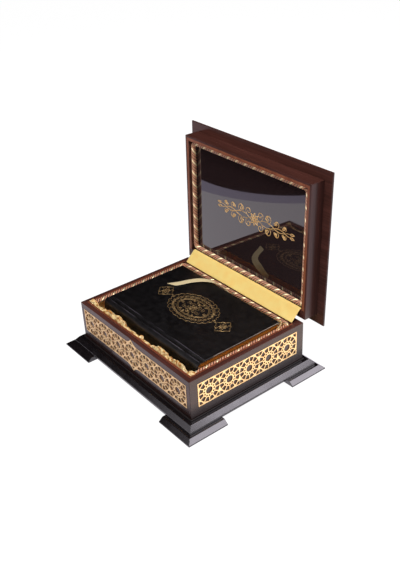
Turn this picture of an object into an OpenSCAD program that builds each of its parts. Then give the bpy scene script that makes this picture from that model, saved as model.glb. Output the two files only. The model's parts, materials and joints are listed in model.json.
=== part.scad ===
// Lidded wooden box on a stepped plinth, with a bound book lying on its satin bed.
// Millimetres, +Z up, front towards -Y, floor at z = 0, lid shown open.

/* [Book] */
// Length of the book along its spine
book_w = 253; // [200:1:300]
// Depth of the book from spine to fore edge
book_d = 168; // [130:1:220]
// Thickness of the closed book
book_t = 42; // [30:1:60]
// How far the closed book stands above the case rim
book_rise = 7; // [3:0.5:10]
// Thickness of the cover boards
cover_t = 3; // [2.5:0.5:4]
// How far the cover boards stand out past the pages
cover_square = 3; // [2.5:0.5:5]
// Radius of the spine's rounded shoulders
spine_r = 8; // [6:0.5:10]
// Thickness of the spine's leather and lining
spine_t = 2.2; // [1.8:0.1:2.4]
// Width of the groove between the spine and each board
groove_w = 6; // [4:0.5:9]
// Depth of that groove
groove_depth = 1.4; // [0.8:0.1:1.6]
// Radius of the endbands at the two ends of the spine
endband_r = 1.2; // [0.8:0.1:1.2]
// Width of the bookmark ribbon
bookmark_w = 10; // [6:1:14]
// Thickness of the bookmark ribbon
bookmark_t = 0.5; // [0.4:0.1:0.8]

/* [Case] */
// Thickness of the front and side walls, in case and lid alike
wall_t = 8; // [6:0.5:12]
// Thickness of the two back walls, which carry the hinges
back_t = 15; // [13:0.5:20]
// Gap between the left rope and the book
left_gap = 11; // [6:1:20]
// Gap between the right rope and the book
right_gap = 2; // [1:0.5:12]
// Gap between the front ruffle and the book's spine
spine_gap = 10; // [4:1:20]
// Gap between the book's fore edge and the back rope
fore_gap = 10; // [8:1:20]

/* [Plinth] */
// Width of the flat ledge round the walls
ledge_w = 8; // [4:0.5:14]
// Width of the plinth's sloped edge
plinth_slope_w = 6.2; // [3:0.1:12]
// Height of the plinth's sloped edge
plinth_slope_h = 7.5; // [4:0.5:12]
// Height of the plinth's thin vertical edge
plinth_edge_h = 3.5; // [2:0.5:8]
// Size of the bead where the walls meet the plinth
bead = 2; // [1:0.5:3]

/* [Feet] */
// Height of the feet
foot_h = 8; // [5:0.5:16]
// Length of each foot along both walls, from its outer corner
foot_len = 75; // [50:1:110]
// Width of the flat top of a foot outside the plinth
foot_ledge = 5; // [2:0.5:10]
// Width of the foot's sloped face
foot_slope_w = 7.5; // [3:0.5:12]
// Height of the foot's vertical edge at the floor
foot_edge_h = 2; // [1:0.5:4]

/* [Fretwork] */
// Pitch and height of one rosette tile
tile = 40; // [32:1:46]
// Width of the frame round each fretwork band
border = 1.2; // [0.8:0.1:2.5]
// Least plain wood between the band and the wall's ends
band_margin = 8; // [5:0.5:20]
// Plain wood between the band and the rim
band_top = 10.5; // [9.5:0.5:14]
// Plain wood between the band and the plinth
band_foot = 18.1; // [13:0.1:30]
// Thickness of the fretwork plates
inlay_t = 1.2; // [0.8:0.1:2]
// How far the plates stand proud of the wood
inlay_proud = 0.3; // [0:0.1:0.6]
// Half width of the pointed centre piece on the front band
point_w = 14; // [8:1:18]
// Height of the pointed centre piece above and below the band
point_h = 9; // [5:0.5:9]

/* [Lid] */
// Thickness of the backing board behind the lid panel
backing_t = 11.5; // [6:0.5:20]
// Thickness of the glossy lid panel
panel_t = 3; // [2:0.5:5]
// Air between the lid panel and the book when the lid is shut
panel_gap = 5.5; // [5:0.5:12]
// Overhang of the lid cap past the walls, all round
cap_over = 15.5; // [8:0.5:22]
// Height of the cap's thin vertical edge
cap_edge_h = 3; // [2:0.5:6]
// Width of the cap's bevel
cap_slope_w = 14; // [6:1:30]
// Height of the cap's bevel
cap_slope_h = 8; // [4:0.5:14]
// How far the lid stands open from shut, in degrees
open_angle = 91.6; // [90:0.1:100]
// Gap between the two rims when the lid is shut
rim_gap = 0.6; // [0.5:0.1:1]

/* [Hinges] */
// Length of each butt hinge
hinge_len = 40; // [30:1:60]
// Distance from each end of the back wall to the middle of its hinge
hinge_inset = 65; // [40:1:90]
// Outer radius of the hinge knuckles
knuckle_r = 2.5; // [2.2:0.1:3.5]
// Radius of the hinge pins
pin_r = 1.2; // [0.8:0.1:1.4]
// Thickness of the hinge leaves
leaf_t = 1; // [0.8:0.1:1.4]
// Plain wood between a leaf and the inner face of the back wall
leaf_margin = 4; // [2:0.5:6]
// Radius of a screw's shank
screw_r = 1.1; // [0.8:0.1:1.4]
// Radius of a screw's head
screw_head_r = 2.2; // [1.8:0.1:2.6]
// Length of a screw
screw_len = 10; // [6:0.5:14]

/* [Trim] */
// Diameter of the rope trim
rope_d = 9; // [6:0.5:12]
// How far the case rope stands above the rim
rope_proud = 1; // [0:0.5:2]
// Distance of the satin hinge ribbon's ends from the side walls
ribbon_inset = 6; // [4:1:40]
// Thickness of the satin hinge ribbon
ribbon_t = 0.8; // [0.6:0.1:1.2]
// Softened edge of the satin bed
bed_round = 5; // [3:0.5:10]
// Thickness of the satin-covered lining cards
card_t = 2; // [1:0.5:4]
// Depth of the satin ruffle, from the front wall inwards
ruffle_w = 12; // [8:1:18]
// How far the tallest folds of the ruffle stand above the rim
ruffle_rise = 5; // [2:0.5:8]
// Distance between the large folds of the ruffle
fold_pitch = 23; // [14:1:40]

/* [Hidden] */
$fn = 48;
// Clearance between pieces that are glued or let into each other
fit = 0.1;
// Clearance between soft pieces and what they lie against
soft_fit = 0.3;
// Running clearance of a hinge pin in the lid's knuckle
pin_run = 0.05;
// Gap between neighbouring knuckles, and between the shut leaves
knuckle_gap = 0.2;
leaf_gap = 0.1;
// A cut reaches this far past the face that it opens
past = 1;

case_w = 2 * (wall_t + rope_d) + left_gap + book_w + right_gap;
case_d = wall_t + ruffle_w + spine_gap + book_d + fore_gap + rope_d + back_t;
band_h = tile + 2 * border;
case_h = band_top + band_h + band_foot;
bed_t = case_h + book_rise - book_t;
rope_r = rope_d / 2;
panel_depth = book_rise + panel_gap;
lid_h = panel_depth + panel_t + backing_t;

// Heights of the plinth's underside, the case floor and the case rim
plinth_z = foot_h;
floor_z = plinth_z + plinth_edge_h + plinth_slope_h;
rim_z = floor_z + case_h;
lid_z = rim_z + rim_gap;

// How far the plinth and the feet stand out past the walls
plinth_reach = ledge_w + plinth_slope_w;
foot_reach = plinth_reach + foot_ledge + foot_slope_w;

// The hinge axis lies behind the back wall, halfway between the two rims
axis_back = knuckle_r + soft_fit;
cap_h = cap_edge_h + cap_slope_h;
// Corners of the cap's section, from the hinge axis with the lid shut
cap_top = rim_gap / 2 + lid_h + cap_h;
cap_edge = rim_gap / 2 + lid_h + cap_edge_h;
cap_front = -(case_d + axis_back + cap_over);
cap_back = cap_over - axis_back;
cap_corners = [
    [cap_front, cap_edge], [cap_front + cap_slope_w, cap_top],
    [cap_back - cap_slope_w, cap_top], [cap_back, cap_edge]
];
function opened_y(c) = c[0] * cos(open_angle) + c[1] * sin(open_angle);
lid_reach = case_d + axis_back + max([for (c = cap_corners) opened_y(c)]);
back_reach = max(case_d + foot_reach, lid_reach);

// y = 0 is the middle of the whole object with its lid open
front_y = (foot_reach - back_reach) / 2;
back_y = front_y + case_d;
mid_y = front_y + case_d / 2;
axis_y = back_y + axis_back;
axis_z = rim_z + rim_gap / 2;

function corners(x, y0, y1) = [[-x, y0], [x, y0], [x, y1], [-x, y1]];
function inset(x, y0, y1, g) = corners(x - g, y0 + g, y1 - g);
well_x = case_w / 2 - wall_t;
well_y0 = front_y + wall_t;
well_y1 = back_y - back_t;
wall_outer = corners(case_w / 2, front_y, back_y);
wall_inner = corners(well_x, well_y0, well_y1);
card_outer = inset(well_x, well_y0, well_y1, fit);
card_inner = inset(well_x, well_y0, well_y1, fit + card_t);
card_h = case_h + rope_proud - rope_d - soft_fit;

// Fretwork bands: whole tiles only, centred on their walls
function band_tiles(run) = floor((run - 2 * (band_margin + border)) / tile);
front_tiles = band_tiles(case_w);
side_tiles = band_tiles(case_d);
band_z = rim_z - band_top - band_h / 2;
petals = 12;

// The book's corner at the front left of its underside
book_x = -well_x + rope_d + left_gap;
book_y = well_y0 + ruffle_w + spine_gap;
book_z = floor_z + bed_t;
spine_d = spine_r + groove_w;
page_x = book_x + cover_square;
page_w = book_w - 2 * cover_square;

hinge_x = case_w / 2 - hinge_inset;
leaf_w = back_t - leaf_margin;
leaf_proud = (rim_gap - leaf_gap) / 2;
knuckle_len = (hinge_len - 2 * knuckle_gap) / 3;
screw_pitch = hinge_len / 3;
// The countersunk heads end within the leaf
screw_head_h = 0.8 * leaf_t;
ribbon_len = 2 * (well_x - ribbon_inset);

// Bookmark: [along the book from its left end, behind the fore edge, above the cover]
// and the direction across the ribbon, which stands on edge behind the book and then lies flat
bookmark_route = [
    [[124, 4, -9], [0, 0, 1]],
    [[114, 4, -5], [0, -0.2, 1]],
    [[104, 3, -1], [0, -0.5, 0.9]],
    [[95, 1, 2], [0, -0.8, 0.6]],
    [[86, -2, 3.5], [-0.2, -1, 0.3]],
    [[77, -7, 4], [-0.5, -0.9, 0.1]],
    [[69, -14, 4], [-0.7, -0.7, 0]],
    [[62, -23, 3.5], [-0.8, -0.5, 0]],
    [[56, -32, 2.5], [-0.9, -0.4, 0]],
    [[51, -41, 1.5], [-0.9, -0.3, 0]],
    [[46, -50, 0.9], [-0.9, -0.3, 0]],
    [[42, -57, 0.8], [-0.9, -0.3, 0]]
];

// Shared shapes

// Section of a block with a vertical edge below and a slope above
module bevel_section(w, edge_h, slope_w, slope_h) {
    polygon([
        [-w / 2, 0], [w / 2, 0], [w / 2, edge_h],
        [w / 2 - slope_w, edge_h + slope_h], [slope_w - w / 2, edge_h + slope_h],
        [-w / 2, edge_h]
    ]);
}

// Block with all four upper edges sloped and mitred
module bevel_block(w, d, edge_h, slope_w, slope_h) {
    intersection() {
        rotate([90, 0, 0]) linear_extrude(d, center = true) bevel_section(w, edge_h, slope_w, slope_h);
        rotate([90, 0, 90]) linear_extrude(w, center = true) bevel_section(d, edge_h, slope_w, slope_h);
    }
}

// Side k of a mitred frame: 0 front, 1 right, 2 back, 3 left
module mitred_side(k, outer, inner, h) {
    next = (k + 1) % 4;
    linear_extrude(h) polygon([outer[k], outer[next], inner[next], inner[k]]);
}

// Round rod along X, longest on its -Y side: the ends listed are cut at 45 degrees, and others square
module mitred_rod(len, r, mitres = [-1, 1]) {
    from = -len / 2 - (min(mitres) < 0 ? r : 0);
    to = len / 2 + (max(mitres) > 0 ? r : 0);
    difference() {
        translate([from, 0, 0]) rotate([0, 90, 0]) cylinder(r = r, h = to - from);
        for (s = mitres)
            translate([s * len / 2, 0, 0]) rotate([0, 0, s * 45]) translate([s * 2 * r, 0, 0])
                cube(4 * r, center = true);
    }
}

// Solid through a list of rings with the same number of points
module loft(rings) {
    n = len(rings);
    m = len(rings[0]);
    sides = [
        for (i = [0:n - 2], j = [0:m - 1])
            let (a = i * m + j, b = i * m + (j + 1) % m)
                each [[a, b, b + m], [a, b + m, a + m]]
    ];
    first = [for (j = [1:m - 2]) [0, j + 1, j]];
    last = [for (j = [1:m - 2]) [(n - 1) * m, (n - 1) * m + j, (n - 1) * m + j + 1]];
    polyhedron(points = [for (r = rings) each r], faces = concat(sides, first, last));
}

// Swings a piece drawn with the lid shut into the open lid
module opened() {
    translate([0, axis_y, axis_z]) rotate([-open_angle, 0, 0]) translate([0, -axis_y, -axis_z]) children();
}

// Feet, plinth and bead

module foot(sx, sy) {
    w = case_w + 2 * foot_reach;
    d = case_d + 2 * foot_reach;
    color("#1a1517") translate([0, mid_y, 0]) intersection() {
        bevel_block(w, d, foot_edge_h, foot_slope_w, foot_h - foot_edge_h);
        translate([sx * (w - foot_len) / 2, sy * (d - foot_len) / 2, foot_h / 2])
            cube([foot_len, foot_len, foot_h + 2 * past], center = true);
    }
}

module plinth() {
    color("#1c171a") translate([0, mid_y, plinth_z])
        bevel_block(case_w + 2 * plinth_reach, case_d + 2 * plinth_reach,
            plinth_edge_h, plinth_slope_w, plinth_slope_h);
}

module base_bead() {
    color("#4a4044") translate([0, mid_y, floor_z]) difference() {
        bevel_block(case_w + 2 * bead, case_d + 2 * bead, bead / 2, bead / 2, bead / 2);
        cube([case_w + 2 * fit, case_d + 2 * fit, 4 * bead], center = true);
    }
}

// Fretwork, drawn flat: x along the wall, y up, centred on its band

module band_shape(tiles, pointed, grow) {
    x = tiles * tile / 2 + border + grow;
    y = band_h / 2 + grow;
    point = [
        [-point_w - grow, y], [-point_w * 0.45, y + point_h * 0.35], [0, y + point_h],
        [point_w * 0.45, y + point_h * 0.35], [point_w + grow, y]
    ];
    upper = concat([[-x, y]], pointed ? point : [], [[x, y]]);
    polygon(concat(upper, [for (p = upper) -p]));
}

module rosette_holes() {
    circle(tile * 0.13);
    for (i = [0:petals - 1]) rotate((i + 0.5) * 360 / petals)
        polygon(tile * [
            [0.27, 0], [0.38, 0.058], [0.47, 0.03], [0.47, -0.03], [0.38, -0.058]
        ]);
    for (i = [0:3]) rotate(i * 90)
        polygon(tile * [[0.39, 0.39], [0.475, 0.4], [0.475, 0.475], [0.4, 0.475]]);
}

module fretwork(tiles, pointed) {
    difference() {
        band_shape(tiles, pointed, 0);
        for (i = [0:tiles - 1]) translate([(i - (tiles - 1) / 2) * tile, 0]) rosette_holes();
        if (pointed)
            for (s = [0, 1]) mirror([0, s]) translate([0, band_h / 2 + border / 2])
                polygon([[-point_w * 0.3, 0], [point_w * 0.3, 0], [0, point_h * 0.55]]);
    }
}

// Stands a flat drawing up against the outer face of wall k
module on_wall(k) {
    places = [[0, front_y], [case_w / 2, mid_y], [0, back_y], [-case_w / 2, mid_y]];
    translate([places[k][0], places[k][1], band_z]) rotate([90, 0, 90 * k])
        translate([0, 0, -inlay_t]) children();
}

function tiles_on(k) = k % 2 == 0 ? front_tiles : side_tiles;

module inlay(k) {
    color(k % 2 == 0 ? "#cd967d" : "#f0dca8") on_wall(k)
        linear_extrude(inlay_t + inlay_proud) fretwork(tiles_on(k), k == 0);
}

// Case walls and lining

module wall(k) {
    color("#5a4a4c") difference() {
        translate([0, 0, floor_z]) mitred_side(k, wall_outer, wall_inner, case_h);
        on_wall(k) linear_extrude(inlay_t + past) band_shape(tiles_on(k), k == 0, fit);
        if (k == 2) {
            leaf_mortises(rim_z - leaf_t + leaf_proud - fit, leaf_t + past);
            screw_spots() translate([0, 0, rim_z - screw_len - fit]) cylinder(r = screw_r + pin_run, h = screw_len);
        }
    }
}

module lining_card(k) {
    color("#e6c98a") translate([0, 0, floor_z]) mitred_side(k, card_outer, card_inner, card_h);
}

module satin_bed() {
    gap = fit + card_t + soft_fit;
    color("#e8cf96") translate([0, (well_y0 + well_y1) / 2, floor_z])
        bevel_block(2 * (well_x - gap), well_y1 - well_y0 - 2 * gap,
            bed_t - bed_round - fit, bed_round, bed_round);
}

// Height of the ruffle's gathers along its length, from 0 to 1
function gather(x) = 0.5 + 0.3 * sin(360 * x / fold_pitch) + 0.2 * sin(850 * x / fold_pitch + 40);

module satin_ruffle() {
    steps = 72;
    sides = 10;
    run = 2 * (well_x - rope_d - soft_fit);
    low = floor_z + card_h + soft_fit;
    rings = [
        for (i = [0:steps])
            let (
                x = run * (i / steps - 0.5),
                g = gather(x),
                half_h = (rim_z + ruffle_rise * g - low) / 2,
                half_w = (ruffle_w - soft_fit) / 2 * (0.7 + 0.3 * g)
            )
                [for (j = [0:sides - 1]) let (a = 360 * j / sides)
                    [x, well_y0 + soft_fit + half_w * (1 + cos(a)), low + half_h * (1 + sin(a))]]
    ];
    color("#f0dda0") loft(rings);
}

module case_rope() {
    z = rim_z + rope_proud - rope_r;
    x = well_x - rope_r - fit;
    y0 = well_y0 + fit;
    y1 = well_y1 - rope_r - fit;
    color("#a5795c") {
        for (s = [-1, 1])
            translate([s * x, (y0 + y1) / 2, z]) rotate([0, 0, s * 90]) mitred_rod(y1 - y0, rope_r, [s]);
        translate([0, y1, z]) rotate([0, 0, 180]) mitred_rod(2 * x, rope_r);
    }
}

// Hinges

module at_hinges() {
    for (s = [-1, 1]) translate([s * hinge_x, back_y, 0]) children();
}

module screw_spots() {
    at_hinges() for (i = [-1:1]) translate([i * screw_pitch, -leaf_w / 2, 0]) children();
}

module leaf_mortises(z, h) {
    at_hinges() translate([-hinge_len / 2 - fit, -leaf_w - fit, z]) cube([hinge_len + 2 * fit, leaf_w + past, h]);
}

// Countersunk screw pointing down, with its head's face at z = 0
module screw(grow) {
    translate([0, 0, -screw_head_h]) cylinder(r1 = screw_r + grow, r2 = screw_head_r + grow, h = screw_head_h);
    translate([0, 0, grow - screw_len]) cylinder(r = screw_r + grow, h = screw_len - screw_head_h / 2 - grow);
}

// Leaf with its knuckles, plate face at z = -leaf_gap / 2 from the axis, for the knuckles listed
module hinge_leaf(knuckles, bore_r) {
    function knuckle_x(k, side) = k * (knuckle_len + knuckle_gap) + side * knuckle_len / 2;
    half = hinge_len / 2;
    tongues = [
        for (i = [len(knuckles) - 1:-1:0])
            let (right = knuckle_x(knuckles[i], 1) - fit, left = knuckle_x(knuckles[i], -1) + fit)
                each [[right, 0], [right, axis_back], [left, axis_back], [left, 0]]
    ];
    difference() {
        union() {
            translate([0, 0, -leaf_t - leaf_gap / 2]) linear_extrude(leaf_t)
                polygon(concat([[-half, 0], [-half, -leaf_w], [half, -leaf_w], [half, 0]], tongues));
            for (k = knuckles) translate([knuckle_x(k, -1), axis_back, 0]) rotate([0, 90, 0])
                cylinder(r = knuckle_r, h = knuckle_len);
        }
        translate([0, axis_back, 0]) rotate([0, 90, 0])
            cylinder(r = bore_r, h = hinge_len + 2 * past, center = true);
        for (i = [-1:1]) translate([i * screw_pitch, -leaf_w / 2, -leaf_gap / 2]) {
            screw(pin_run);
            translate([0, 0, -pin_run]) cylinder(r = screw_head_r + pin_run, h = past);
        }
    }
}

module case_leaf(s) {
    color("#b8934a") translate([s * hinge_x, back_y, axis_z]) hinge_leaf([-1, 1], pin_r + pin_run / 2);
}

module lid_leaf(s) {
    color("#b8934a") opened() translate([s * hinge_x, back_y, axis_z]) mirror([0, 0, 1])
        hinge_leaf([0], pin_r + pin_run);
}

module hinge_pin(s) {
    head_h = pin_r;
    color("#a8843e") translate([s * hinge_x, axis_y, axis_z]) rotate([0, 90, 0]) {
        cylinder(r = pin_r, h = hinge_len + 2 * knuckle_gap, center = true);
        for (e = [-1, 1]) translate([0, 0, e * (hinge_len / 2 + knuckle_gap + head_h / 2)])
            cylinder(r = knuckle_r * 0.8, h = head_h, center = true);
    }
}

module case_hinge_screws() {
    color("#c9a45a") screw_spots() translate([0, 0, axis_z - leaf_gap / 2]) screw(0);
}

module lid_hinge_screws() {
    color("#c9a45a") opened() screw_spots() translate([0, 0, axis_z + leaf_gap / 2]) mirror([0, 0, 1]) screw(0);
}

// Satin strip from the case's inner back edge to the lid's, stretched flat by the open lid
module hinge_ribbon() {
    reach = back_t + axis_back;
    low = [well_y1, rim_z];
    high = [
        axis_y - reach * cos(open_angle) + rim_gap / 2 * sin(open_angle),
        axis_z + reach * sin(open_angle) + rim_gap / 2 * cos(open_angle)
    ];
    along = (high - low) / norm(high - low);
    out = [-along[1], along[0]];
    near = soft_fit * out;
    far = (soft_fit + ribbon_t) * out;
    color("#f2cd7a") rotate([90, 0, 90]) linear_extrude(ribbon_len, center = true)
        polygon([low + near, high + near, high + far, low + far]);
}

// Lid, drawn shut

module lid_wall(k) {
    color("#5e4143") opened() difference() {
        translate([0, 0, lid_z]) mitred_side(k, wall_outer, wall_inner, lid_h);
        if (k == 2) {
            leaf_mortises(lid_z - past, leaf_t - leaf_proud + fit + past);
            screw_spots() translate([0, 0, lid_z + fit]) cylinder(r = screw_r + pin_run, h = screw_len);
        }
    }
}

module lid_cap() {
    color("#4a3032") opened() translate([0, mid_y, lid_z + lid_h])
        bevel_block(case_w + 2 * cap_over, case_d + 2 * cap_over, cap_edge_h, cap_slope_w, cap_slope_h);
}

module lid_board(z, t, gap) {
    opened() translate([0, 0, z]) linear_extrude(t) polygon(inset(well_x, well_y0, well_y1, gap));
}

module lid_backing() {
    color("#6b5a4c") lid_board(lid_z + panel_depth + panel_t, backing_t, fit);
}

module lid_panel() {
    color("#0c0b0d") lid_board(lid_z + panel_depth, panel_t, fit);
}

module lid_rope() {
    x = well_x - rope_r - fit;
    y0 = well_y0 + rope_r + fit;
    y1 = well_y1 - rope_r - fit;
    color("#a5795c") opened() translate([0, (y0 + y1) / 2, lid_z + panel_depth - rope_r - fit]) for (k = [0:3])
        rotate([0, 0, 90 * k]) translate([0, -(k % 2 == 0 ? (y1 - y0) / 2 : x), 0])
            mitred_rod(k % 2 == 0 ? 2 * x : y1 - y0, rope_r);
}

// Book, lying with its spine to the front

module book_board(z) {
    color("#1c1a1b") translate([book_x, book_y + spine_d, z]) cube([book_w, book_d - spine_d, cover_t]);
}

module book_top_cover() {
    book_board(book_z + book_t - cover_t);
}

module book_bottom_cover() {
    book_board(book_z);
}

// Runs a drawing of the book's end, y then z, along the book
module along_book(x, w) {
    translate([x, book_y, book_z]) rotate([90, 0, 90]) linear_extrude(w) children();
}

// Rounded back of the book, g inside its outer face, reaching back to y
module rounded_back(g, y) {
    intersection() {
        square([y, book_t]);
        union() {
            translate([spine_r, g]) square([y - spine_r, book_t - 2 * g]);
            translate([g, spine_r]) square([spine_r, book_t - 2 * spine_r]);
            for (z = [spine_r, book_t - spine_r]) translate([spine_r, z]) circle(spine_r - g);
        }
    }
}

module book_spine() {
    groove_r = (groove_w * groove_w / 4 + groove_depth * groove_depth) / (2 * groove_depth);
    color("#1f1c1d") along_book(book_x, book_w) difference() {
        rounded_back(0, spine_d);
        rounded_back(spine_t, spine_d + past);
        for (z = [groove_depth - groove_r, book_t - groove_depth + groove_r])
            translate([spine_r + groove_w / 2, z]) circle(groove_r);
    }
}

module book_pages() {
    color("#9a6a2a") along_book(page_x, page_w) rounded_back(cover_t, book_d - cover_square);
}

module book_endbands() {
    y = book_y + cover_t + endband_r;
    color("#d8c38a") for (x = [page_x - endband_r - fit, page_x + page_w + endband_r + fit])
        translate([x, y, book_z + spine_r]) cylinder(r = endband_r, h = book_t - 2 * spine_r);
}

module bookmark() {
    start = [book_x, book_y + book_d, book_z + book_t];
    last = len(bookmark_route) - 1;
    function unit(v) = v / norm(v);
    rings = [
        for (i = [0:last])
            let (
                p = start + bookmark_route[i][0],
                run = bookmark_route[min(i + 1, last)][0] - bookmark_route[max(i - 1, 0)][0],
                across = unit(bookmark_route[i][1]) * bookmark_w / 2,
                thick = unit(cross(run, across)) * bookmark_t / 2
            )
                [p - across - thick, p + across - thick, p + across + thick, p - across + thick]
    ];
    color("#d9c69a") loft(rings);
}

foot(-1, -1);  // foot_front_left
foot(1, -1);  // foot_front_right
foot(1, 1);  // foot_back_right
foot(-1, 1);  // foot_back_left
plinth();
base_bead();
wall(0);  // wall_front
wall(1);  // wall_right
wall(2);  // wall_back
wall(3);  // wall_left
inlay(0);  // inlay_front
inlay(1);  // inlay_right
inlay(2);  // inlay_back
inlay(3);  // inlay_left
lining_card(0);  // lining_front
lining_card(1);  // lining_right
lining_card(2);  // lining_back
lining_card(3);  // lining_left
satin_bed();
satin_ruffle();
case_rope();
case_leaf(-1);  // left_case_leaf
case_leaf(1);  // right_case_leaf
hinge_pin(-1);  // left_hinge_pin
hinge_pin(1);  // right_hinge_pin
case_hinge_screws();
hinge_ribbon();
lid_wall(0);  // lid_wall_front
lid_wall(1);  // lid_wall_right
lid_wall(2);  // lid_wall_back
lid_wall(3);  // lid_wall_left
lid_cap();
lid_backing();
lid_panel();
lid_rope();
lid_leaf(-1);  // left_lid_leaf
lid_leaf(1);  // right_lid_leaf
lid_hinge_screws();
book_top_cover();
book_bottom_cover();
book_spine();
book_pages();
book_endbands();
bookmark();
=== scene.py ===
# %% [markdown]
# # A wooden box for a bound book
# The object is a dark wooden box on a stepped black plinth. It stands open, with a book on its satin
# bed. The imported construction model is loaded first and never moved. It says where every piece is, so
# this script only gives each piece the surface that a maker would give it.

# %% Load the frame
import json
import math

import bmesh
import bpy
from mathutils import Matrix, Vector, noise

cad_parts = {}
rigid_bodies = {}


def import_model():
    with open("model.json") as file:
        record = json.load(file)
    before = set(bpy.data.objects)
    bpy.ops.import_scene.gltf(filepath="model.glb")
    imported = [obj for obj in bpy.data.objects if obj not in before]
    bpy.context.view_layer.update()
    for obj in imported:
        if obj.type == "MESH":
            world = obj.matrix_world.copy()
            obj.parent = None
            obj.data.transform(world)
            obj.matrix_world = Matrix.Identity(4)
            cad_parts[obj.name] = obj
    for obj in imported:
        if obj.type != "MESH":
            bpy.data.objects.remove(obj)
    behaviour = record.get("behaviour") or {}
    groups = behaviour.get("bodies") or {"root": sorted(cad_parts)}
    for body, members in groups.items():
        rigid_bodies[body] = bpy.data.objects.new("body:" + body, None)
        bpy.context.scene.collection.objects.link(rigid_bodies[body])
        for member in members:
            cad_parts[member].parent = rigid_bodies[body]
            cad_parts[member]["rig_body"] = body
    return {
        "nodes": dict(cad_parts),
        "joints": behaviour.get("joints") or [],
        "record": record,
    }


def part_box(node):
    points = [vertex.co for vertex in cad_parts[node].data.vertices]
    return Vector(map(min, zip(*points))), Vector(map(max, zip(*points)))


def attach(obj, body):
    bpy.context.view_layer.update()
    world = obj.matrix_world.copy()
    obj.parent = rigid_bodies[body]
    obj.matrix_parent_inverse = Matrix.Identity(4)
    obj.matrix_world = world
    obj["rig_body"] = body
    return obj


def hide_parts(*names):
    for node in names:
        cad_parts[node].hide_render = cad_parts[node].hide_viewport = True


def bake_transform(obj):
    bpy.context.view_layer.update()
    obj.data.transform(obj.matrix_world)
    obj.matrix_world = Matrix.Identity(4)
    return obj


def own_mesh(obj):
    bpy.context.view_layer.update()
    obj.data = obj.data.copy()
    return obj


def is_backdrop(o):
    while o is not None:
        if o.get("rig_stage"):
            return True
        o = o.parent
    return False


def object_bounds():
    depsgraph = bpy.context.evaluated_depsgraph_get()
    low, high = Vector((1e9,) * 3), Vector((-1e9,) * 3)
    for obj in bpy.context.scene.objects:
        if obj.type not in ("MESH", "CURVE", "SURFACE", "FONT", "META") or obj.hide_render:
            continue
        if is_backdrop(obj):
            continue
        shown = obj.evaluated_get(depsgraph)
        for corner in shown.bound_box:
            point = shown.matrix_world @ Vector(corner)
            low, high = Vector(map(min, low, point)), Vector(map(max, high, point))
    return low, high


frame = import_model()
construction_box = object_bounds()
scene = bpy.context.scene
MM = 0.001

# %% [markdown]
# ## The camera
# The box was photographed from its front right corner, about 31 degrees above the table. A camera could
# be moved by eye until the picture fits, but the box has straight edges of known length, so its place
# and direction were solved from those. The lens is a little longer than normal, which keeps verticals
# calm.

# %% Camera
EYE = Vector((0.8735, -0.6465, 0.7814))
FORWARD = Vector((-0.6851, 0.5199, -0.5103)).normalized()
UPWARD = Vector((-0.3747, 0.3492, 0.8589)).normalized()
LENS_MM = 49.04

sideways = FORWARD.cross(UPWARD).normalized()
turned = Matrix((sideways, sideways.cross(FORWARD), -FORWARD)).transposed()
lens = bpy.data.cameras.new("photo_camera")
lens.lens = LENS_MM
camera = bpy.data.objects.new("photo_camera", lens)
camera.matrix_world = Matrix.Translation(EYE) @ turned.to_4x4()
scene.collection.objects.link(camera)
scene.camera = camera
scene.view_settings.view_transform = "Standard"
print("camera", [round(x, 3) for x in EYE], "lens", LENS_MM)

# %% [markdown]
# ## Colours and nodes
# Finishes are written as the hex colours that a paint chart would give, and shaders want linear light,
# so one function turns one into the other. Another adds a node to any tree, sets it and links it. Node
# trees are then lists of short lines instead of pages of clicking.

# %% Colours and nodes
MIX_A, MIX_B = 6, 7  # the colour inputs of a Mix node
FAMILIES = {"SHADER": ("ShaderNode",), "GEOMETRY": ("GeometryNode", "FunctionNode", "ShaderNode", "Node")}


def linear(hex_colour):
    """An sRGB hex colour as linear RGBA."""
    channels = [int(hex_colour[i:i + 2], 16) / 255 for i in (1, 3, 5)]
    light = [c / 12.92 if c <= 0.04045 else ((c + 0.055) / 1.055) ** 2.4 for c in channels]
    return (*light, 1.0)


def fill(tree, node, links):
    """Links or fills a node's inputs, which are named or numbered. A node gives its first enabled output."""
    for key, value in links.items():
        if isinstance(value, bpy.types.Node):
            value = next(o for o in value.outputs if o.enabled)
        if isinstance(value, bpy.types.NodeSocket):
            tree.links.new(value, node.inputs[key])
        else:
            node.inputs[key].default_value = value


def add(tree, kind, links=None, **settings):
    """Adds a node, whose kind is named without its family, sets its properties and fills its inputs."""
    node = tree.nodes.new(next(f + kind for f in FAMILIES[tree.type] if hasattr(bpy.types, f + kind)))
    for name, value in settings.items():
        setattr(node, name, value)
    fill(tree, node, links or {})
    return node


print("white paper is", [round(c, 3) for c in linear("#F4F4F2")])

# %% [markdown]
# ## Finishes
# Nearly every finish here is one shader whose colour, roughness or bump follows a noise of a real size:
# rubbed lacquer, rolled metal, woven cloth. Each could have its own tree, but they would repeat each
# other, so one function builds them from a few rows of numbers. The few that differ are built by hand.

# %% Finish functions
def new_finish(name, sockets):
    """A material with one Principled shader. Values that are the same all over are set on its sockets."""
    finish = bpy.data.materials.new(name)
    finish.use_nodes = True
    shader = finish.node_tree.nodes["Principled BSDF"]
    fill(finish.node_tree, shader, sockets)
    return finish, finish.node_tree, shader


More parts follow.
